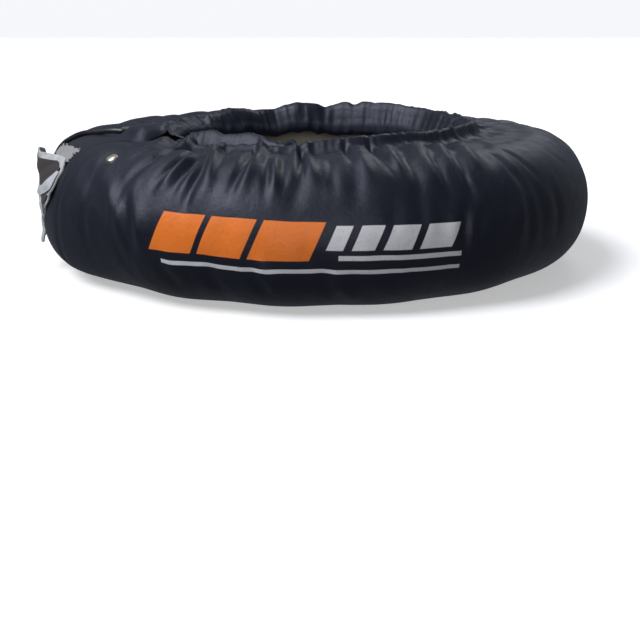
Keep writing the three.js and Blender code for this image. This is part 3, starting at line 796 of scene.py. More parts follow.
def body_table():
    """Signed distance from the smooth ring's body in the plane of radius and height, on a 1 mm grid."""
    inset = 1.6
    n2 = section_normals(SEC_S)
    keep = (SEC_S >= S_TOP) & (SEC_S <= S_BOTTOM)
    line = SECTION_LINE[keep] - n2[keep] * inset
    line = line[::3]
    poly = np.vstack([line, [[150, line[-1, 1]], [150, line[0, 1]]]])
    rs, zs = np.arange(130, 350), np.arange(-12, 185)
    G = np.stack(np.meshgrid(rs, zs, indexing="ij"), -1).reshape(-1, 2).astype(float)
    best = np.full(len(G), 1e9)
    inside = np.zeros(len(G), bool)
    m = len(poly)
    for i in range(m):
        a, b = poly[i], poly[(i + 1) % m]
        ab = b - a
        t = np.clip(((G - a) @ ab) / (ab @ ab + 1e-12), 0, 1)
        best = np.minimum(best, np.hypot(*(G - a - t[:, None] * ab).T))
        cond = (a[1] > G[:, 1]) != (b[1] > G[:, 1])
        with np.errstate(divide="ignore", invalid="ignore"):
            cross = (b[0] - a[0]) * (G[:, 1] - a[1]) / (b[1] - a[1]) + a[0]
        inside ^= cond & (G[:, 0] < cross)
    sd = np.where(inside, -best, best).reshape(len(rs), len(zs))
    gr, gz = np.gradient(sd)
    return sd.astype(np.float32), gr.astype(np.float32), gz.astype(np.float32)


SDF, SDF_R, SDF_Z = body_table()


def look_up(r, z):
    x = np.clip(r - 130, 0, SDF.shape[0] - 1.001)
    y = np.clip(z + 12, 0, SDF.shape[1] - 1.001)
    i, j = x.astype(np.int32), y.astype(np.int32)
    fx, fy = x - i, y - j
    out = []
    for T in (SDF, SDF_R, SDF_Z):
        out.append((T[i, j] * (1 - fx) + T[i + 1, j] * fx) * (1 - fy) + (T[i, j + 1] * (1 - fx) + T[i + 1, j + 1] * fx) * fy)
    return out


SQUEEZE = 0.14  # how hard a thread resists being pushed together, beside being pulled


def stretch(P, W, A, B, L, k, one_sided=False):
    """Brings the points of slices A and B to their distance."""
    a, b = P[(slice(None),) + A], P[(slice(None),) + B]
    d = b - a
    n = np.sqrt(d[0] * d[0] + d[1] * d[1] + d[2] * d[2]) + 1e-6
    c = (n - L) / n
    if one_sided:
        c = np.minimum(c, 0)
    else:
        c = np.where(c < 0, c * SQUEEZE, c)
    wa, wb = W[A], W[B]
    c *= k / (wa + wb + 1e-9)
    a += (wa * c) * d
    b -= (wb * c) * d


def relax(P, Lu, Lv, hold, hold_k, W, stand, rounds, torus, gravity=0.05, bend=0.12, keep=0.03, drag=0.90, puff=0.0, name=""):
    """Moves the sheet until its threads have their lengths and it rests on the body."""
    t = time.time()
    nu, nv = P.shape[1:]
    s_ = slice
    Q = P.copy()
    Ld = np.sqrt((Lu[:, :-1] ** 2 + Lu[:, 1:] ** 2 + Lv[:-1] ** 2 + Lv[1:] ** 2) / 2)
    Lu2, Lv2 = Lu[:-1] + Lu[1:], Lv[:, :-1] + Lv[:, 1:]
    (cr, cz, rad, on_hem) = torus
    skirt = ~on_hem
    for it in range(rounds):
        v = (P - Q) * drag
        np.clip(v, -1.5, 1.5, out=v)
        Q = P.copy()
        P += v * W
        P[2] -= gravity * W
        P += (hold_k * W) * (hold - P)
        if puff and it % 4 == 0:
            Nn = normals_of(P)
            push = Nn * (puff * 4)
        if puff:
            P += push * (W * 0.25)
        for sweep in range(2):
            for o in (0, 1):
                stretch(P, W, (s_(o, nu - 1, 2), s_(None)), (s_(o + 1, nu, 2), s_(None)), Lu[o::2], 0.9)
            for o in (0, 1):
                stretch(P, W, (s_(None), s_(o, nv - 1, 2)), (s_(None), s_(o + 1, nv, 2)), Lv[:, o::2], 0.9)
        for o in (0, 1):
            stretch(P, W, (s_(o, nu - 1, 2), s_(0, nv - 1)), (s_(o + 1, nu, 2), s_(1, nv)), Ld[o::2], 0.25)
            stretch(P, W, (s_(o + 1, nu, 2), s_(0, nv - 1)), (s_(o, nu - 1, 2), s_(1, nv)), Ld[o::2], 0.25)
        for o in range(4):
            stretch(P, W, (s_(o, nu - 2, 4), s_(None)), (s_(o + 2, nu, 4), s_(None)), Lu2[o::4], bend, True)
            stretch(P, W, (s_(None), s_(o, nv - 2, 4)), (s_(None), s_(o + 2, nv, 4)), Lv2[:, o::4], bend, True)
        # the body below, the elastic in its casing, and the floor
        r = np.sqrt(P[0] ** 2 + P[1] ** 2) + 1e-6
        sd, gr, gz = look_up(r, P[2])
        gap = stand - sd
        move = np.where(skirt & (gap > 0), gap * 0.5, np.where(skirt, gap * keep, 0.0)) * np.minimum(W, 1)
        move = np.clip(move, -3, 3)
        P[0] += move * gr * P[0] / r
        P[1] += move * gr * P[1] / r
        P[2] += move * gz
        Q[0] += 0.6 * move * gr * P[0] / r
        Q[1] += 0.6 * move * gr * P[1] / r
        Q[2] += 0.6 * move * gz
        r = np.sqrt(P[0] ** 2 + P[1] ** 2) + 1e-6
        for (c_r, c_z) in ((cr[0], cz[0]), (cr[1], cz[1])):
            dr, dz = r - c_r[:, None], P[2] - c_z[:, None]
            d = np.sqrt(dr * dr + dz * dz) + 1e-6
            m = np.where(d < rad, (rad - d) / d, 0.0)
            P[0] += m * dr * P[0] / r
            P[1] += m * dr * P[1] / r
            P[2] += m * dz
        low = P[2] < 0.35
        P[2] = np.where(low, 0.35, P[2])
    say(name, f"{rounds} rounds of {nu} x {nv} in {time.time() - t:.1f} s")
    return P


def upsample(P, nu, nv):
    """The grid with a new point halfway between each pair, on a smooth curve."""
    def along(A):
        n = A.shape[1]
        out = np.empty((A.shape[0], 2 * n - 1) + A.shape[2:], A.dtype)
        out[:, ::2] = A
        E = np.concatenate([2 * A[:, :1] - A[:, 1:2], A, 2 * A[:, -1:] - A[:, -2:-1]], 1)
        out[:, 1::2] = (-E[:, :-3] + 9 * E[:, 1:-2] + 9 * E[:, 2:-1] - E[:, 3:]) / 16
        return out
    A = along(P)
    A = along(A.transpose(0, 2, 1)).transpose(0, 2, 1)
    return np.ascontiguousarray(A[:, :nu, :nv])


def make_shell():
    P0, N, folds, soft = build_seed()
    say("seeds")
    seeded = P0 + N * (folds + soft)
    say("hem rise of the seed", round(float(seeded[2, :, J_TOP].mean()), 1))
    # threads: as long as on the seeded surface, with more along the hem than the ring takes up
    def lengths(X):
        return (np.sqrt(((X[:, 1:] - X[:, :-1]) ** 2).sum(0)), np.sqrt(((X[:, :, 1:] - X[:, :, :-1]) ** 2).sum(0)))
    Lu_s, Lv_s = lengths(seeded)
    Lu_0, Lv_0 = lengths(P0)
    d = np.maximum(S_F - S_TOP, 0)
    e = np.maximum(S_BOTTOM - S_F, 0)
    more = 0.035 * np.exp(-(d / 40.0) ** 2) + 0.10 * np.exp(-(e / 30.0) ** 2)
    g = gather(PHI_F)
    g = (g[1:] + g[:-1]) / 2
    Lu = np.maximum(Lu_s, Lu_0 * (1 + g[:, None] * more[None, :]))
    Lu *= 1.002
    Lv = np.maximum(Lv_s, Lv_0) * 1.003
    taut = smooth((S_F[1:] + S_F[:-1]) / 2, S_TOP - 4, S_TOP + 16)[None, :]
    Lv = Lv * (1 - taut) + Lv_0 * taut
    P = None
    for level, rounds in ((4, 140), (2, 120), (1, 90)):
        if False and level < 4:
            break
        iu, iv = slice(None, None, level), slice(None, None, level if not (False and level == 4) else 2)
        nu, nv = len(PHI_F[iu]), len(S_F[iv])
        su, sv = level, level
        lu = np.add.reduceat(Lu, np.arange(0, NU_F - 1, su), axis=0)[: nu - 1, iv]
        lv = np.add.reduceat(Lv, np.arange(0, NV_F - 1, sv), axis=1)[iu, : nv - 1]
        if P is None:
            P = seeded[:, iu, iv].copy()
            rng = np.random.default_rng(3)
            P += N[:, iu, iv] * rng.normal(0, 0.35, (1, nu, nv)).astype(np.float32)
        else:
            P = upsample(P, nu, nv)
            rng = np.random.default_rng(level)
            P += N[:, iu, iv] * rng.normal(0, 0.05, (1, nu, nv)).astype(np.float32)
        s_here = S_F[iv]
        on_hem = np.broadcast_to(((s_here < S_TOP) | (s_here > S_BOTTOM))[None, :], (nu, nv))
        W = np.ones((nu, nv), np.float32)
        # the casing's own turns stay by the elastic
        W[:, (s_here < S_TOP - 14)] = 0.0
        W[:, (s_here > S_BOTTOM + 12)] = 0.0
        W[:, (s_here < S_TOP) & (s_here >= S_TOP - 14)] = 0.5
        W[0], W[-1] = 0.3, 0.3
        cr = (HEM_C[0] + HEM_OUT[iu], np.full(nu, HEM_LOW_C[0]))
        cz = (HEM_C[1] + HEM_UP[iu], np.full(nu, HEM_LOW_C[1]))
        stand = (folds + soft * 0.6)[iu, iv] + 1.6
        hold_on = 0.015 + 0.20 * smooth(np.abs(folds[iu, iv]), 0.6, 4.0)
        P = relax(P.astype(np.float32), lu.astype(np.float32), lv.astype(np.float32), seeded[:, iu, iv].astype(np.float32),
                  (0.010 + 0.16 * np.exp(-((np.maximum(s_here - S_TOP, 0) / 15.0) ** 2)))[None, :].astype(np.float32), W, stand.astype(np.float32), rounds,
                  (cr, cz, 5.8, on_hem), gravity=0.03 * level ** 0.5, bend=0.08 if level > 1 else 0.10, keep=hold_on.astype(np.float32), name="shell")
    # ripples that run along the ring are drawn out, folds that run across it stay
    ease = (smooth(S_F, S_TOP + 26, S_TOP + 56) * (1 - smooth(S_F, S_BOTTOM - 44, S_BOTTOM - 20)))[:: (1)][None, None, 1:-1]
    for _ in range(14):
        P[:, :, 1:-1] += 0.5 * ease * ((P[:, :, 2:] + P[:, :, :-2]) / 2 - P[:, :, 1:-1])
    # nothing is left under the felt's and the seam tapes' outer faces
    s_here = S_F[:: (1)]
    need = 1.6 + np.interp(s_here, [S_TOP + 20, S_SHOULDER - 50, S_SHOULDER - 22, S_LOWSH + 22, S_BOTTOM - 40], [-12.0, -9.0, -0.4, -0.4, -6.0])
    for _ in range(3):
        r = np.sqrt(P[0] ** 2 + P[1] ** 2) + 1e-6
        sd, gr, gz = look_up(r, P[2])
        k_ = np.maximum(need[None, :] - sd, 0) * ((s_here > S_TOP + 20) & (s_here < S_BOTTOM - 20))[None, :]
        P[0] += k_ * gr * P[0] / r
        P[1] += k_ * gr * P[1] / r
        P[2] += k_ * gz
    P[2] = np.maximum(P[2], 0.3)
    return P


EYELET = (221.8, s_of(279.7, 140.6))
SHELL = make_shell()


# ------------------------------------------------------------------ the fabric's material
def sheet_uv(px, py):
    a, d = on_face(px, py)
    return math.radians(a) * 0.318, d * MM


# Print: plain leaning bars in orange and white over a thin line. In metres along the print and down from its top:
# (from, to, top, bottom, colour, leaning)
_tl, _tr, _bl = sheet_uv(163, 209), sheet_uv(461, 216), sheet_uv(163, 262)
PRINT_AT = _tl
PRINT_LONG = _tr[0] - _tl[0]
PRINT_TILT = (_tr[1] - _tl[1]) / PRINT_LONG
PRINT_HIGH = _bl[1] - _tl[1]
ORANGE, WHITE = (0.80, 0.19, 0.020), (0.62, 0.62, 0.64)
say("print", [round(x, 4) for x in (PRINT_LONG, PRINT_HIGH, PRINT_TILT)])
PRINT = []
_h = PRINT_HIGH
for _a, _b in ((0.015, 0.165), (0.185, 0.335), (0.355, 0.55)):
    PRINT.append((_a * PRINT_LONG, _b * PRINT_LONG, 0.0, 0.70 * _h, ORANGE, True))
for _a, _b in ((0.585, 0.64), (0.665, 0.74), (0.765, 0.86), (0.885, 1.0)):
    PRINT.append((_a * PRINT_LONG, _b * PRINT_LONG, 0.06 * _h, 0.50 * _h, WHITE, True))
PRINT.append((0.585 * PRINT_LONG, 1.0 * PRINT_LONG, 0.58 * _h, 0.68 * _h, WHITE, False))
PRINT.append((0.0, 1.0 * PRINT_LONG, 0.84 * _h, 0.93 * _h, WHITE, False))


def nylon_material():
    m, t, p = material("navy_nylon")
    v = coords(t)
    big = noise(t, v, 9, 3, 0.5)
    mid = noise(t, v, 55, 4, 0.6, 0.4)
    fine = noise(t, v, 240, 3, 0.6)
    base = ramp(t, big, [(0.30, (0.0046, 0.0050, 0.0105)), (0.70, (0.0078, 0.0082, 0.0165))])
    base = mix(t, math_node(t, "MULTIPLY", fine, 0.26), base, (0.016, 0.0165, 0.027))
    uv = t.nodes.new("ShaderNodeUVMap")
    uv.uv_map = "OFBake"
    sep = t.nodes.new("ShaderNodeSeparateXYZ")
    wire(t, uv.outputs[0], sep.inputs[0])
    # print: plain bands in orange and white
    along_, across = sep.outputs[0], sep.outputs[1]

    def band(x, lo, hi, soft=0.0006):
        a = math_node(t, "MULTIPLY", math_node(t, "SUBTRACT", x, lo), 1 / soft, clamp=True)
        b = math_node(t, "MULTIPLY", math_node(t, "SUBTRACT", hi, x), 1 / soft, clamp=True)
        return math_node(t, "MULTIPLY", a, b)

    worn = ramp(t, noise(t, v, 420, 4, 0.65), [(0.22, (0.55,) * 3), (0.42, (1.0,) * 3)])
    # the print's own axes: along its baseline, and across it from its top
    p_u = math_node(t, "SUBTRACT", along_, PRINT_AT[0])
    p_v = math_node(t, "SUBTRACT", math_node(t, "SUBTRACT", across, PRINT_AT[1]), math_node(t, "MULTIPLY", p_u, PRINT_TILT))
    lean = math_node(t, "ADD", p_u, math_node(t, "MULTIPLY", p_v, 0.45))
    for (u0, u1, v0, v1, colour, leaning) in PRINT:
        k = math_node(t, "MULTIPLY", band(lean if leaning else p_u, u0, u1), band(p_v, v0, v1))
        base = mix(t, math_node(t, "MULTIPLY", k, worn), base, colour)
    wire(t, base, p.inputs["Base Color"])
    # inside its casing's turn the cloth is matt
    turned = math_node(t, "MULTIPLY", math_node(t, "SUBTRACT", (S_TOP - 7) * MM, across), 1 / 0.006, clamp=True)
    shine = ramp(t, mid, [(0.25, (0.36,) * 3), (0.75, (0.50,) * 3)])
    wire(t, mix(t, turned, shine, (0.97, 0.97, 0.97)), p.inputs["Roughness"])
    p.inputs["Specular IOR Level"].default_value = 0.42
    p.inputs["Specular Tint"].default_value = (0.80, 0.84, 1.0, 1)
    p.inputs["Sheen Weight"].default_value = 0.05
    p.inputs["Sheen Roughness"].default_value = 0.45
    p.inputs["Sheen Tint"].default_value = (0.62, 0.66, 0.85, 1)
    cloth = weave(t, uv.outputs[0], 0.0011)
    n1 = bump(t, cloth, 0.25, 0.00016)
    n2 = bump(t, fine, 0.30, 0.0009, n1)
    n3 = bump(t, mid, 0.15, 0.0040, n2)
    wire(t, n3, p.inputs["Normal"])
    return m




def plain(name, colour, rough, metal=0.0, vary=0.25, scale=60, bump_by=0.2, dist=0.0004, spec=0.5):
    m, t, p = material(name)
    v = coords(t)
    n = noise(t, v, scale, 4, 0.6)
    lo = tuple(c * (1 - vary) for c in colour)
    hi = tuple(min(1.0, c * (1 + vary)) for c in colour)
    wire(t, ramp(t, n, [(0.28, lo), (0.72, hi)]), p.inputs["Base Color"])
    r = noise(t, v, scale * 3.3, 3, 0.6)
    wire(t, ramp(t, r, [(0.25, (max(0.03, rough - 0.08),) * 3), (0.75, (min(1, rough + 0.08),) * 3)]), p.inputs["Roughness"])
    p.inputs["Metallic"].default_value = metal
    p.inputs["Specular IOR Level"].default_value = spec
    wire(t, bump(t, r, bump_by, dist), p.inputs["Normal"])
    return m


def felt_like(name, colour, rough=0.95, scale=300, dist=0.0008, sheen=0.3):
    m, t, p = material(name)
    v = coords(t)
    n = noise(t, v, scale, 5, 0.7, 1.0)
    big = noise(t, v, scale / 12, 3, 0.5)
    lo, hi = tuple(c * 0.62 for c in colour), tuple(min(1.0, c * 1.25) for c in colour)
    c = ramp(t, n, [(0.25, lo), (0.7, hi)])
    c = mix(t, math_node(t, "MULTIPLY", big, 0.45), c, tuple(x * 0.7 for x in colour))
    wire(t, c, p.inputs["Base Color"])
    p.inputs["Roughness"].default_value = rough
    p.inputs["Sheen Weight"].default_value = sheen
    wire(t, bump(t, n, 0.6, dist), p.inputs["Normal"])
    return m


def lining_material():
    m, t, p = material("lining_cloth")
    v = coords(t)
    big = noise(t, v, 14, 3, 0.6)
    fine = noise(t, v, 420, 4, 0.6)
    c = ramp(t, big, [(0.3, (0.60, 0.56, 0.45)), (0.7, (0.76, 0.71, 0.58))])
    c = mix(t, math_node(t, "MULTIPLY", fine, 0.5), c, (0.48, 0.45, 0.36))
    wire(t, c, p.inputs["Base Color"])
    p.inputs["Roughness"].default_value = 0.8
    p.inputs["Sheen Weight"].default_value = 0.2
    wire(t, bump(t, fine, 0.4, 0.0005, bump(t, big, 0.5, 0.004)), p.inputs["Normal"])
    return m


M_NYLON = nylon_material()
M_LINING = lining_material()
M_FELT = felt_like("white_felt", (0.55, 0.52, 0.45))
M_CARRIER = plain("glass_carrier", (0.50, 0.47, 0.38), 0.8, vary=0.15, scale=200)
M_BLACK = plain("black_webbing", (0.012, 0.012, 0.014), 0.7, scale=500, bump_by=0.5)
M_HEATER = plain("heater_silicone", (0.32, 0.045, 0.025), 0.5)
M_BROWN = plain("brown_wire", (0.13, 0.05, 0.02), 0.45)
M_BLUE = plain("blue_wire", (0.03, 0.08, 0.28), 0.45)
M_CRIMP = plain("tinned_crimp", (0.55, 0.54, 0.52), 0.32, metal=1.0)
M_CUTOUT = plain("cutout_black", (0.02, 0.02, 0.022), 0.45)
M_GOLD = plain("fuse_can", (0.48, 0.38, 0.22), 0.35, metal=0.8)
M_RIVET = plain("eyelet_metal", (0.66, 0.60, 0.51), 0.44, metal=1.0, vary=0.3, scale=300)
M_NYLON_EDGE = plain("navy_binding", (0.010, 0.010, 0.017), 0.5, vary=0.3, scale=300, bump_by=0.3, spec=0.4)
M_TAB = felt_like("rough_grey_tab", (0.31, 0.31, 0.315), 0.85, 420, 0.0022, 0.3)
M_SILVER = felt_like("silver_tape", (0.50, 0.51, 0.54), 0.62, 260, 0.0010, 0.2)
M_DARK = felt_like("dark_hook_tape", (0.026, 0.018, 0.017), 0.8, 900, 0.0009, 0.1)
M_PANEL = plain("panel_backing", (0.47, 0.475, 0.49), 0.55, vary=0.3, scale=70)
M_BOOT = plain("boot_rubber", (0.014, 0.014, 0.016), 0.5, scale=120)
M_PLUG = plain("plug_black", (0.014, 0.014, 0.015), 0.42, vary=0.35, scale=90, bump_by=0.35, dist=0.0003)
M_PIN = plain("plated_pin", (0.60, 0.48, 0.24), 0.24, metal=1.0, vary=0.15)
M_CERAMIC = plain("fuse_ceramic", (0.62, 0.58, 0.50), 0.35)
M_COVER = plain("cover_grey", (0.045, 0.045, 0.048), 0.5)

CARRIED = {
    "insulation_felt": M_FELT, "heater_carrier": M_CARRIER, "inner_lining": M_LINING, "heating_wire": M_HEATER,
    "thermostat": M_CUTOUT, "thermal_fuse": M_GOLD, "supply_wire_live": M_BROWN, "supply_wire_neutral": M_BLUE,
    "splice_live": M_CRIMP, "splice_neutral": M_CRIMP, "upper_seam_tape": M_BLACK, "lower_seam_tape": M_BLACK,
    "upper_hem_elastic": M_BLACK, "lower_hem_elastic": M_BLACK, "eyelet_front": M_RIVET, "eyelet_washer": M_RIVET,
    "plug_pin_live": M_PIN, "plug_pin_neutral": M_PIN, "plug_pin_earth": M_PIN, "plug_fuse": M_CERAMIC,
    "plug_fuse_cover": M_COVER, "closure_panel": M_PANEL, "loop_tape": M_SILVER, "hook_tape": M_DARK,
    "loop_tape_foot": M_SILVER, "shoulder_tab": M_SILVER, "plug_body": M_PLUG, "strain_relief": M_BOOT, "coil_tie": M_BLACK,
}
NODE_OBJECT = {}
for o in bpy.data.objects:
    if o.type == "MESH" and o.name in CARRIED:
        NODE_OBJECT[o.name] = o
        o.data.materials.clear()
        o.data.materials.append(CARRIED[o.name])
say("nodes with materials", len(NODE_OBJECT), "of", len(CARRIED))

# ------------------------------------------------------------------ the shell
shell_uv = np.stack(np.broadcast_arrays((np.radians(PHI_F) * 0.318)[:, None], (S_F * MM)[None, :]), -1)
shell = fast_grid("outer_shell", np.ascontiguousarray(SHELL.transpose(1, 2, 0)), M_NYLON, flip=False, uv=shell_uv)
ride(shell, "tread_panel", "upper_side_skirt", "lower_side_skirt", slot="navy_nylon")


def grid_area(P):
    a = P[:, 1:, :-1] - P[:, :-1, :-1]
    b = P[:, :-1, 1:] - P[:, :-1, :-1]
    c = np.stack([a[1] * b[2] - a[2] * b[1], a[2] * b[0] - a[0] * b[2], a[0] * b[1] - a[1] * b[0]])
    return float(np.sqrt((c**2).sum(0)).sum())


AREA = grid_area(SHELL) * 1e-6
say("shell area", round(AREA, 4))


# ------------------------------------------------------------------ places on the finished cloth
SHELL_N = normals_of(SHELL)
_gp = PHI_F
_gs = S_F


def on_cloth(phi, s, lift=0.0):
    """Points on the cloth at angles and distances along its section, lifted off it, in millimetres."""
    phi, s = np.broadcast_arrays(np.asarray(phi, float), np.asarray(s, float))
    free = smooth(s, S_TOP + 4, S_TOP + 30) * (1 - smooth(s, S_BOTTOM - 40, S_BOTTOM - 6))
    a = np.linspace(552, 564, 200)
    back = np.interp(phi, a + LAP * smooth(a, 552, 564), a)
    phi = np.where(phi > 552, phi + (np.where(phi > 552, back, phi) - phi) * free, phi)
    x = np.interp(phi, _gp, np.arange(len(_gp)))
    y = np.interp(s, _gs, np.arange(len(_gs)))
    i, j = np.minimum(x.astype(int), len(_gp) - 2), np.minimum(y.astype(int), len(_gs) - 2)
    fx, fy = x - i, y - j

    def pick(T):
        return ((T[:, i, j] * (1 - fx) + T[:, i + 1, j] * fx) * (1 - fy) + (T[:, i, j + 1] * (1 - fx) + T[:, i + 1, j + 1] * fx) * fy)

    n = pick(SHELL_N)
    n = n / (np.sqrt((n**2).sum(0)) + 1e-9)
    return np.moveaxis(pick(SHELL) + n * lift, 0, -1), np.moveaxis(n, 0, -1)


def thick(name, points, depth, mat, rounded=True, uv=None):
    """A closed thin piece: its outer face is a grid of points in millimetres, and it is depth deep."""
    nu, nv, _ = points.shape
    n = np.moveaxis(normals_of(np.moveaxis(points, -1, 0)), 0, -1)
    top, low = points, points - n * depth
    verts = np.vstack([top.reshape(-1, 3), low.reshape(-1, 3)])
    f = grid_faces(nu, nv)
    m = nu * nv
    faces = [tuple(q) for q in f[:, ::-1]] + [tuple(q + m) for q in f]
    ring = [(i, 0) for i in range(nu)] + [(nu - 1, j) for j in range(1, nv)] + [(i, nv - 1) for i in range(nu - 2, -1, -1)] + [(0, j) for j in range(nv - 2, 0, -1)]
    ids = [i * nv + j for i, j in ring]
    for a, b in zip(ids, ids[1:] + ids[:1]):
        faces.append((a, b, b + m, a + m))
    o = mesh_object(name, verts, faces, mat)
    bm = bmesh.new()
    bm.from_mesh(o.data)
    bmesh.ops.recalc_face_normals(bm, faces=bm.faces)
    bm.to_mesh(o.data)
    bm.free()
    if rounded:
        b = o.modifiers.new("edge", "BEVEL")
        b.width = min(0.35, depth * 0.35) * MM
        b.segments = 2
        b.limit_method = "ANGLE"
        b.angle_limit = math.radians(50)
    return o


def stitches(name, centres, normals, size, mat):
    """Short raised stitches, each from one point of a line to the next."""
    verts, faces = [], []
    for k_ in range(0, len(centres) - 1, 2):
        a, b = centres[k_], centres[k_ + 1]
        n = normals[k_]
        t = (b - a) / (np.linalg.norm(b - a) + 1e-9)
        side = np.cross(t, n)
        side /= np.linalg.norm(side) + 1e-9
        base = len(verts)
        for f_, w_, h_ in ((0.0, 0.35, -0.25), (0.2, 1.0, 0.75), (0.5, 1.0, 1.0), (0.8, 1.0, 0.75), (1.0, 0.35, -0.25)):
            c = a + (b - a) * f_
            for ang in range(6):
                u = math.radians(60 * ang)
                verts.append(c + side * math.cos(u) * size * w_ + n * (math.sin(u) * size * w_ * 0.8 + size * 0.35 * h_))
        for r_ in range(4):
            for q in range(6):
                i0, i1 = base + r_ * 6 + q, base + r_ * 6 + (q + 1) % 6
                faces.append((i0, i1, i1 + 6, i0 + 6))
        faces.append(tuple(base + q for q in range(5, -1, -1)))
        faces.append(tuple(base + 24 + q for q in range(6)))
    return mesh_object(name, verts, faces, mat)


def lathe(name, profile, sides, place_mm, normal, mat):
    """A turned piece: profile is [radius, height] from the axis out and back to it."""
    z = Vector(normal).normalized()
    q = Vector((0, 0, 1)).rotation_difference(z)
    verts, faces = [], []
    p = profile
    idx = []
    for r_, h_ in p:
        if r_ < 1e-6:
            idx.append([len(verts)])
            verts.append(q @ Vector((0, 0, h_)) + Vector(place_mm))
        else:
            idx.append(list(range(len(verts), len(verts) + sides)))
            for k_ in range(sides):
                a = 2 * math.pi * k_ / sides
                verts.append(q @ Vector((r_ * math.cos(a), r_ * math.sin(a), h_)) + Vector(place_mm))
    for a, b in zip(idx, idx[1:]):
        for k_ in range(sides):
            n_ = (k_ + 1) % sides
            if len(a) == 1 and len(b) > 1:
                faces.append((a[0], b[k_], b[n_]))
            elif len(b) == 1 and len(a) > 1:
                faces.append((a[k_], b[0], a[n_]))
            elif len(a) > 1:
                faces.append((a[k_], b[k_], b[n_], a[n_]))
    o = mesh_object(name, [tuple(v) for v in verts], faces, mat)
    bm = bmesh.new()
    bm.from_mesh(o.data)
    bmesh.ops.recalc_face_normals(bm, faces=bm.faces)
    bm.to_mesh(o.data)
    bm.free()
    return o


M_THREAD = plain("black_thread", (0.02, 0.02, 0.024), 0.5, scale=900)
M_GREY_THREAD = plain("grey_thread", (0.25, 0.25, 0.27), 0.55, scale=900)

# ---- stitches along the casing, above and below
for label, s_line in (("upper", S_TOP + 12), ("lower", S_BOTTOM - 12)):
    length = math.radians(353) * 190
    n_ = int(length / 2.6) // 2 * 2
    ph = np.linspace(OPEN_FROM + 0.8, OPEN_TO - 0.8, n_)
    c_, nn = on_cloth(ph, np.full(n_, s_line), 0.05)
    c_[:, 2] = np.maximum(c_[:, 2], 0.5)
    o = stitches(f"{label}_hem_stitches", c_, nn, 0.42, M_THREAD)
    ride(o, slot="navy_nylon")

# ---- elastic in the upper casing
el = []
for i_ in range(0, NU_F, 4):
    a_ = math.radians(PHI_F[i_])
    q = np.radians(np.arange(12) * 30.0)
    r_, z_ = HEM_C[0] + HEM_OUT[i_] + 4.6 * np.cos(q), HEM_C[1] + HEM_UP[i_] + 4.6 * np.sin(q)
    el.append(np.stack([r_ * math.cos(a_), r_ * math.sin(a_), z_], -1))
ride(fast_grid("hem_elastic", np.array(el), M_BLACK, closed_v=True, caps=True), "upper_hem_elastic", slot="elastic")

# ---- the bound edge of the strip's outer end, with a row of stitches
ph = np.linspace(OPEN_FROM + 0.02, OPEN_FROM + 2.0, 6)
ss = np.linspace(S_TOP + 16, S_BOTTOM - 22, 150)
c_, nn = on_cloth(ph[:, None], ss[None, :], 0.9)
c_[0] += (c_[0] - c_[1]) * 0.15
c_[..., 2] = np.maximum(c_[..., 2], 0.4)
binding = thick("closure_binding", c_, 1.1, M_NYLON_EDGE)
ride(binding, slot="navy_nylon")
c_, nn = on_cloth(np.full(220, OPEN_FROM + 1.55), np.linspace(S_TOP + 18, S_BOTTOM - 18, 220), 0.95)
ride(stitches("closure_stitches", c_, nn, 0.4, M_THREAD), slot="navy_nylon")

# ---- eyelet
c_, nn = on_cloth(np.array([EYELET[0]]), np.array([EYELET[1]]), 0.0)
eyelet = lathe("eyelet_cap", [[0, -2.2], [5.9, -2.2], [6.5, -0.4], [6.75, 0.5], [6.3, 1.15], [5.6, 1.4], [4.7, 1.32], [3.9, 1.5],
                              [2.8, 1.95], [1.4, 2.2], [0, 2.25]], 40, c_[0] + nn[0] * 0.5, nn[0], M_RIVET)
ride(eyelet, "eyelet_front", slot="rivet")

# ---- the stiff strip across the closure, and the touch tapes on it
def on_round(px, py, r):
    """Angle and height where a picture place shows a cylinder about the ring's axis."""
    d = np.array([(px - 320) / FOCAL, 0.0, 0.0]) + np.array([0.0, COS_P, -SIN_P]) + (320 - py) / FOCAL * np.array([0.0, SIN_P, COS_P])
    o_ = np.array(CAMERA)
    a, b, c = d[0] ** 2 + d[1] ** 2, 2 * (o_[0] * d[0] + o_[1] * d[1]), o_[0] ** 2 + o_[1] ** 2 - r * r
    k_ = b * b - 4 * a * c
    t = (-b - math.sqrt(max(k_, 0))) / (2 * a)
    q = o_ + t * d
    return math.degrees(math.atan2(q[1], q[0])) % 360, q[2]


def panel_r(phi, z, base):
    """The strip's radius: it leans out a little at its back and bottom, and ripples."""
    free = (base + 1.5 * np.sin((phi - 181) * 0.42 + z * 0.05) + 1.0 * np.sin(z * 0.13 + phi * 0.25) + 0.5 * np.sin(z * 0.31 - phi * 0.5)
            + 1.6 * smooth(z, 100, 131) * smooth(-phi, -196, -182) + 0.8 * smooth(-z, -60, -28))
    # its front edge lies on the cloth
    r_, z_ = section_at(np.linspace(S_TOP + 60, S_LOWSH + 20, 300))
    lies = np.interp(z, z_[::-1], r_[::-1]) + 5.6 + 0.8 * np.sin(z * 0.21 + phi * 0.6) + 0.6 * np.sin(z * 0.39 - phi * 0.9) + (base - 320.8) + 4.0 * np.exp(-(((z - 31) / 24.0) ** 2))
    w = smooth(phi, 195, 206.5)
    return np.minimum(free * (1 - w) + lies * w, free + 3)


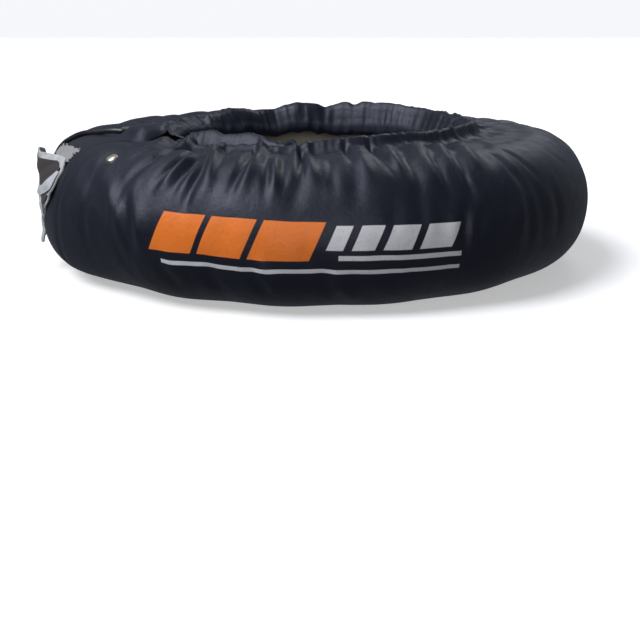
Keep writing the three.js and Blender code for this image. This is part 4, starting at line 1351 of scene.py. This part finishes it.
def panel_patch(name, outline, base, depth, mat, nu=36, nv=64, slot="silver_tape"):
    """A patch between two side lines: outline gives (height, from angle, to angle) from the top down."""
    z = np.linspace(outline[0][0], outline[-1][0], nv)
    zz = [o_[0] for o_ in outline][::-1]
    a0 = np.interp(z, zz, [o_[1] for o_ in outline][::-1])
    a1 = np.interp(z, zz, [o_[2] for o_ in outline][::-1])
    u = np.linspace(0, 1, nu)[:, None]
    ph = a0[None, :] + (a1 - a0)[None, :] * u
    Z = np.broadcast_to(z[None, :], ph.shape)
    r_ = panel_r(ph, Z, base)
    a = np.radians(ph)
    P = np.stack([r_ * np.cos(a), r_ * np.sin(a), Z], -1)
    o = thick(name, P, depth, mat)
    return ride(o, slot=slot)


panel = panel_patch("closure_strip", [(136.0, 196.6, 198.6), (134.4, 190.0, 203.0), (132.0, 183.4, 206.0), (128.5, 181.0, 208.2), (122.0, 181.0, 208.6),
                                      (101.0, 181.0, 208.2), (92.0, 181.0, 206.8), (75.0, 181.0, 203.4), (62.0, 181.0, 200.8), (48.0, 181.2, 198.6), (38.0, 181.8, 197.4), (34.0, 182.6, 197.0), (32.0, 184.4, 196.0)],
                    320.8, 1.6, M_PANEL, 44, 84, "binding")
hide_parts("closure_panel")
loop = panel_patch("loop_tape_piece", [(127.0, 183.4, 189.6), (125.0, 182.9, 190.2), (44.0, 182.9, 190.2), (41.0, 183.6, 189.6)], 322.1, 1.25, M_SILVER)
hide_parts("loop_tape")
hook = panel_patch("hook_tape_piece", [(129.5, 193.0, 203.5), (124.0, 191.6, 207.4), (112.0, 191.4, 206.2), (104.0, 191.4, 204.2), (98.5, 191.4, 202.8), (97.5, 191.8, 202.2)], 322.9, 1.3, M_DARK, slot="dark_tape")
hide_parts("hook_tape")
foot = panel_patch("loop_tape_foot_piece", [(89.0, 197.4, 204.0), (84.0, 196.4, 204.6), (74.0, 196.6, 202.6), (64.0, 198.0, 200.6)], 322.2, 1.25, M_SILVER)
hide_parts("loop_tape_foot")
panel_patch("folded_flap", [(121.0, 206.4, 208.0), (112.0, 204.6, 208.2), (102.5, 201.6, 207.8), (95.0, 192.6, 203.6), (88.0, 191.4, 199.6), (84.0, 191.2, 197.0)], 323.9, 0.9, M_SILVER, 24, 40)
panel_patch("hook_tape_lower", [(95.0, 204.0, 206.4), (90.5, 197.4, 205.8), (80.0, 198.8, 203.6), (71.0, 200.6, 202.0)], 322.7, 1.1, M_DARK, 24, 40, "dark_tape")
# the strip's seams
for k_, (a_, z0, z1) in enumerate(((182.3, 120, 62), (195.9, 78, 46), (207.4, 122, 104))):
    z = np.linspace(z0, z1, int(abs(z1 - z0) / 2.2))
    ph = np.full(len(z), a_)
    r_ = panel_r(ph, z, 322.3)
    P = np.stack([r_ * np.cos(np.radians(ph)), r_ * np.sin(np.radians(ph)), z], -1)
    N_ = np.stack([np.cos(np.radians(ph)), np.sin(np.radians(ph)), 0 * z], -1)
    ride(stitches(f"strip_stitches_{k_}", P, N_, 0.4, M_GREY_THREAD), slot="silver_tape")

# ---- the rough tab on the shoulder, over the lead
def joint_place(px, py):
    a_, s_ = on_face(px, py)
    return (a_ + 360 if a_ < 300 else a_), s_


corner = [joint_place(*p_) for p_ in ((83, 152.0), (65.6, 147.5), (58.8, 152.0), (71.5, 163.5))]
u, v = np.meshgrid(np.linspace(0, 1, 46), np.linspace(0, 1, 30), indexing="ij")
say("tab corners", [(round(a_, 1), round(b_, 1)) for a_, b_ in corner])
PH = corner[0][0] * (1 - u) * (1 - v) + corner[1][0] * u * (1 - v) + corner[2][0] * u * v + corner[3][0] * (1 - u) * v
SS = corner[0][1] * (1 - u) * (1 - v) + corner[1][1] * u * (1 - v) + corner[2][1] * u * v + corner[3][1] * (1 - u) * v
PH = PH + 0.35 * np.sin(v * 19) * (u > 0.9) - 0.3 * np.sin(v * 15 + 1) * (u < 0.08)
SS = SS + 1.0 * np.sin(u * 11.0) * (1 - v) + 0.9 * np.sin(u * 15 + 1) * v
lead_pts = np.array(LEAD[:14])
n2_ = section_normals(SS.ravel()).reshape(SS.shape + (2,))
r_, z_ = section_at(SS)
ca, sa = np.cos(np.radians(PH)), np.sin(np.radians(PH))
nn = np.stack([n2_[..., 0] * ca, n2_[..., 0] * sa, n2_[..., 1]], -1)
c_ = np.stack([r_ * ca, r_ * sa, z_], -1)


def cloth_rise(angle):
    """How far the cloth stands off the smooth ring below each point of the tab."""
    q_, _ = on_cloth(angle, SS, 0.0)
    sd_, _, _ = look_up(np.hypot(q_[..., 0], q_[..., 1]), q_[..., 2])
    return sd_ - 1.6


rise = np.maximum(np.where(PH < 573.5, cloth_rise(np.minimum(PH, 573.5)), -9), np.where(PH > 569.2, cloth_rise(np.maximum(PH - 360, 209.2)), -9))
for _ in range(4):
    rise[1:-1, 1:-1] = np.maximum(rise[1:-1, 1:-1], (rise[2:, 1:-1] + rise[:-2, 1:-1] + rise[1:-1, 2:] + rise[1:-1, :-2]) / 4)
# it rises over the lead
near_lead = np.full(PH.shape, 1e9)
for q0, q1 in zip(lead_pts, lead_pts[1:]):
    for f_ in np.linspace(0, 1, 6):
        near_lead = np.minimum(near_lead, np.linalg.norm(c_ - (q0 + (q1 - q0) * f_), axis=-1))
lead_hump = 9.0 * np.exp(-(np.maximum(near_lead - 5.0, 0) / 6.0) ** 2)
tab_rng = np.random.default_rng(21)
rough_ = tab_rng.normal(0, 1, (46, 30))
for _ in range(2):
    rough_[1:-1, 1:-1] = (rough_[1:-1, 1:-1] * 2 + rough_[2:, 1:-1] + rough_[:-2, 1:-1] + rough_[1:-1, 2:] + rough_[1:-1, :-2]) / 6
tab = c_ + nn * (rise + 2.0 + lead_hump + 1.0 * rough_)[..., None]
ride(thick("shoulder_tab_piece", tab, 1.3, M_TAB), "shoulder_tab", slot="silver_tape")

# ---- lining: a smooth sheet in the place of the faceted one, quilted in rows
sec_in = []
for s_here in np.linspace(S_SHOULDER + 6, S_LOWSH - 6, 30):
    r_, z_ = section_at(s_here)
    n2_ = section_normals(np.array([s_here]))[0]
    sec_in.append((r_ - n2_[0] * 13.9, z_ - n2_[1] * 13.9))
sec_in = np.array(sec_in)
lp = np.linspace(OPEN_FROM + 0.5, OPEN_TO - 0.5, 420)
vv = np.linspace(0, 1, 30)[None, :]
quilt = 0.8 * np.abs(np.sin(math.pi * 9 * vv)) * (0.6 + 0.4 * np.abs(np.sin(np.radians(lp)[:, None] * 45)))
quilt = quilt + 0.35 * np.sin(np.radians(lp)[:, None] * 61 + vv * 9) * np.sin(vv * 14 + np.radians(lp)[:, None] * 23)
R_ = sec_in[None, :, 0] - 0.2 - quilt
Z_ = np.broadcast_to(sec_in[None, :, 1], R_.shape)
a_ = np.radians(lp)[:, None]
P = np.stack([R_ * np.cos(a_), R_ * np.sin(a_), Z_], -1)
ride(thick("lining_sheet", P[:, ::-1], 0.9, M_LINING, rounded=False), "inner_lining", slot="lining")

# ---- moulded pieces with rounded edges in the place of the plain ones
def rounded(node_name, name, width, mat, slot, segments=3, limit=28):
    src = NODE_OBJECT[node_name]
    mesh = src.data.copy()
    mesh.name = name
    mesh.materials.clear()
    mesh.materials.append(mat)
    bm = bmesh.new()
    bm.from_mesh(mesh)
    bmesh.ops.remove_doubles(bm, verts=bm.verts, dist=1e-6)
    bmesh.ops.dissolve_limit(bm, angle_limit=math.radians(1.0), verts=bm.verts, edges=bm.edges)
    bm.to_mesh(mesh)
    bm.free()
    shade_smooth(mesh)
    o = link(bpy.data.objects.new(name, mesh))
    o.matrix_world = src.matrix_world
    b = o.modifiers.new("edge", "BEVEL")
    b.width = width * MM
    b.segments = segments
    b.limit_method = "ANGLE"
    b.angle_limit = math.radians(limit)
    b.harden_normals = False
    w = o.modifiers.new("normals", "WEIGHTED_NORMAL")
    w.keep_sharp = False
    return ride(o, node_name, slot=slot)


rounded("plug_body", "plug_body_moulded", 1.1, M_PLUG, "plug_black")
rounded("coil_tie", "coil_tie_strap", 0.5, M_BLACK, "elastic")

# ------------------------------------------------------------------ floor, light
floor_mat, ft, fp = material("floor")
fp.inputs["Base Color"].default_value = (0.86, 0.86, 0.865, 1)
fp.inputs["Roughness"].default_value = 0.6
fp.inputs["Specular IOR Level"].default_value = 0.25
fp.inputs["Emission Color"].default_value = (1, 1, 1, 1)
fp.inputs["Emission Strength"].default_value = 0.41
floor = mesh_object("floor", [(-6000, -4000, 0), (6000, -4000, 0), (6000, 9000, 0), (-6000, 9000, 0)], [(0, 1, 2, 3)], floor_mat, False)
floor.visible_glossy = False
floor.visible_diffuse = False

world = bpy.data.worlds.new("studio")
scene.world = world
world.use_nodes = True
world.node_tree.nodes["Background"].inputs[0].default_value = (0.80, 0.88, 1.0, 1)
world.node_tree.nodes["Background"].inputs[1].default_value = 0.15


def area_light(name, place, target, size, power, colour=(1, 1, 1)):
    data = bpy.data.lights.new(name, "AREA")
    data.shape = "RECTANGLE"
    data.size, data.size_y = size
    data.energy = power
    data.color = colour
    o = link(bpy.data.objects.new(name, data))
    o.location = place
    d = Vector(target) - Vector(place)
    o.rotation_euler = d.to_track_quat("-Z", "Y").to_euler()
    return o


def sun(name, towards, power, angle, colour=(1, 1, 1)):
    data = bpy.data.lights.new(name, "SUN")
    data.energy = power
    data.angle = math.radians(angle)
    data.color = colour
    o = link(bpy.data.objects.new(name, data))
    o.rotation_euler = Vector(towards).to_track_quat("-Z", "Y").to_euler()
    return o


sun("key", (0.74, 0.46, -0.98), 2.8, 32, (0.95, 0.97, 1.0))
area_light("top", (-0.9, 0.3, 2.0), (-0.2, 0, 0.1), (1.2, 0.9), 10, (0.93, 0.96, 1.0))
area_light("front", (0.0, -2.3, 0.50), (0.05, 0.28, 0.09), (0.7, 0.22), 9, (1.0, 0.99, 0.96))
area_light("rear", (0.9, 2.0, 1.9), (0.0, 0.1, 0.1), (1.0, 0.7), 9, (0.95, 0.97, 1.0))
back_mat, bt, bp = material("backdrop")
bp.inputs["Base Color"].default_value = (0, 0, 0, 1)
bp.inputs["Emission Color"].default_value = (0.96, 0.97, 1.0, 1)
bp.inputs["Emission Strength"].default_value = 0.95
backdrop = mesh_object("backdrop", [(-9000, 7000, -10), (9000, 7000, -10), (9000, 7000, 5000), (-9000, 7000, 5000)], [(0, 1, 2, 3)], back_mat, False)
backdrop.visible_glossy = False
backdrop.visible_diffuse = False
scene.view_settings.view_transform = "Standard"
scene.view_settings.look = "None"

# ------------------------------------------------------------------ the lead's length, and end
lead_length = curve_length(LEAD) * MM
say("lead", round(lead_length, 4))
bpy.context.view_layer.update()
say("done")
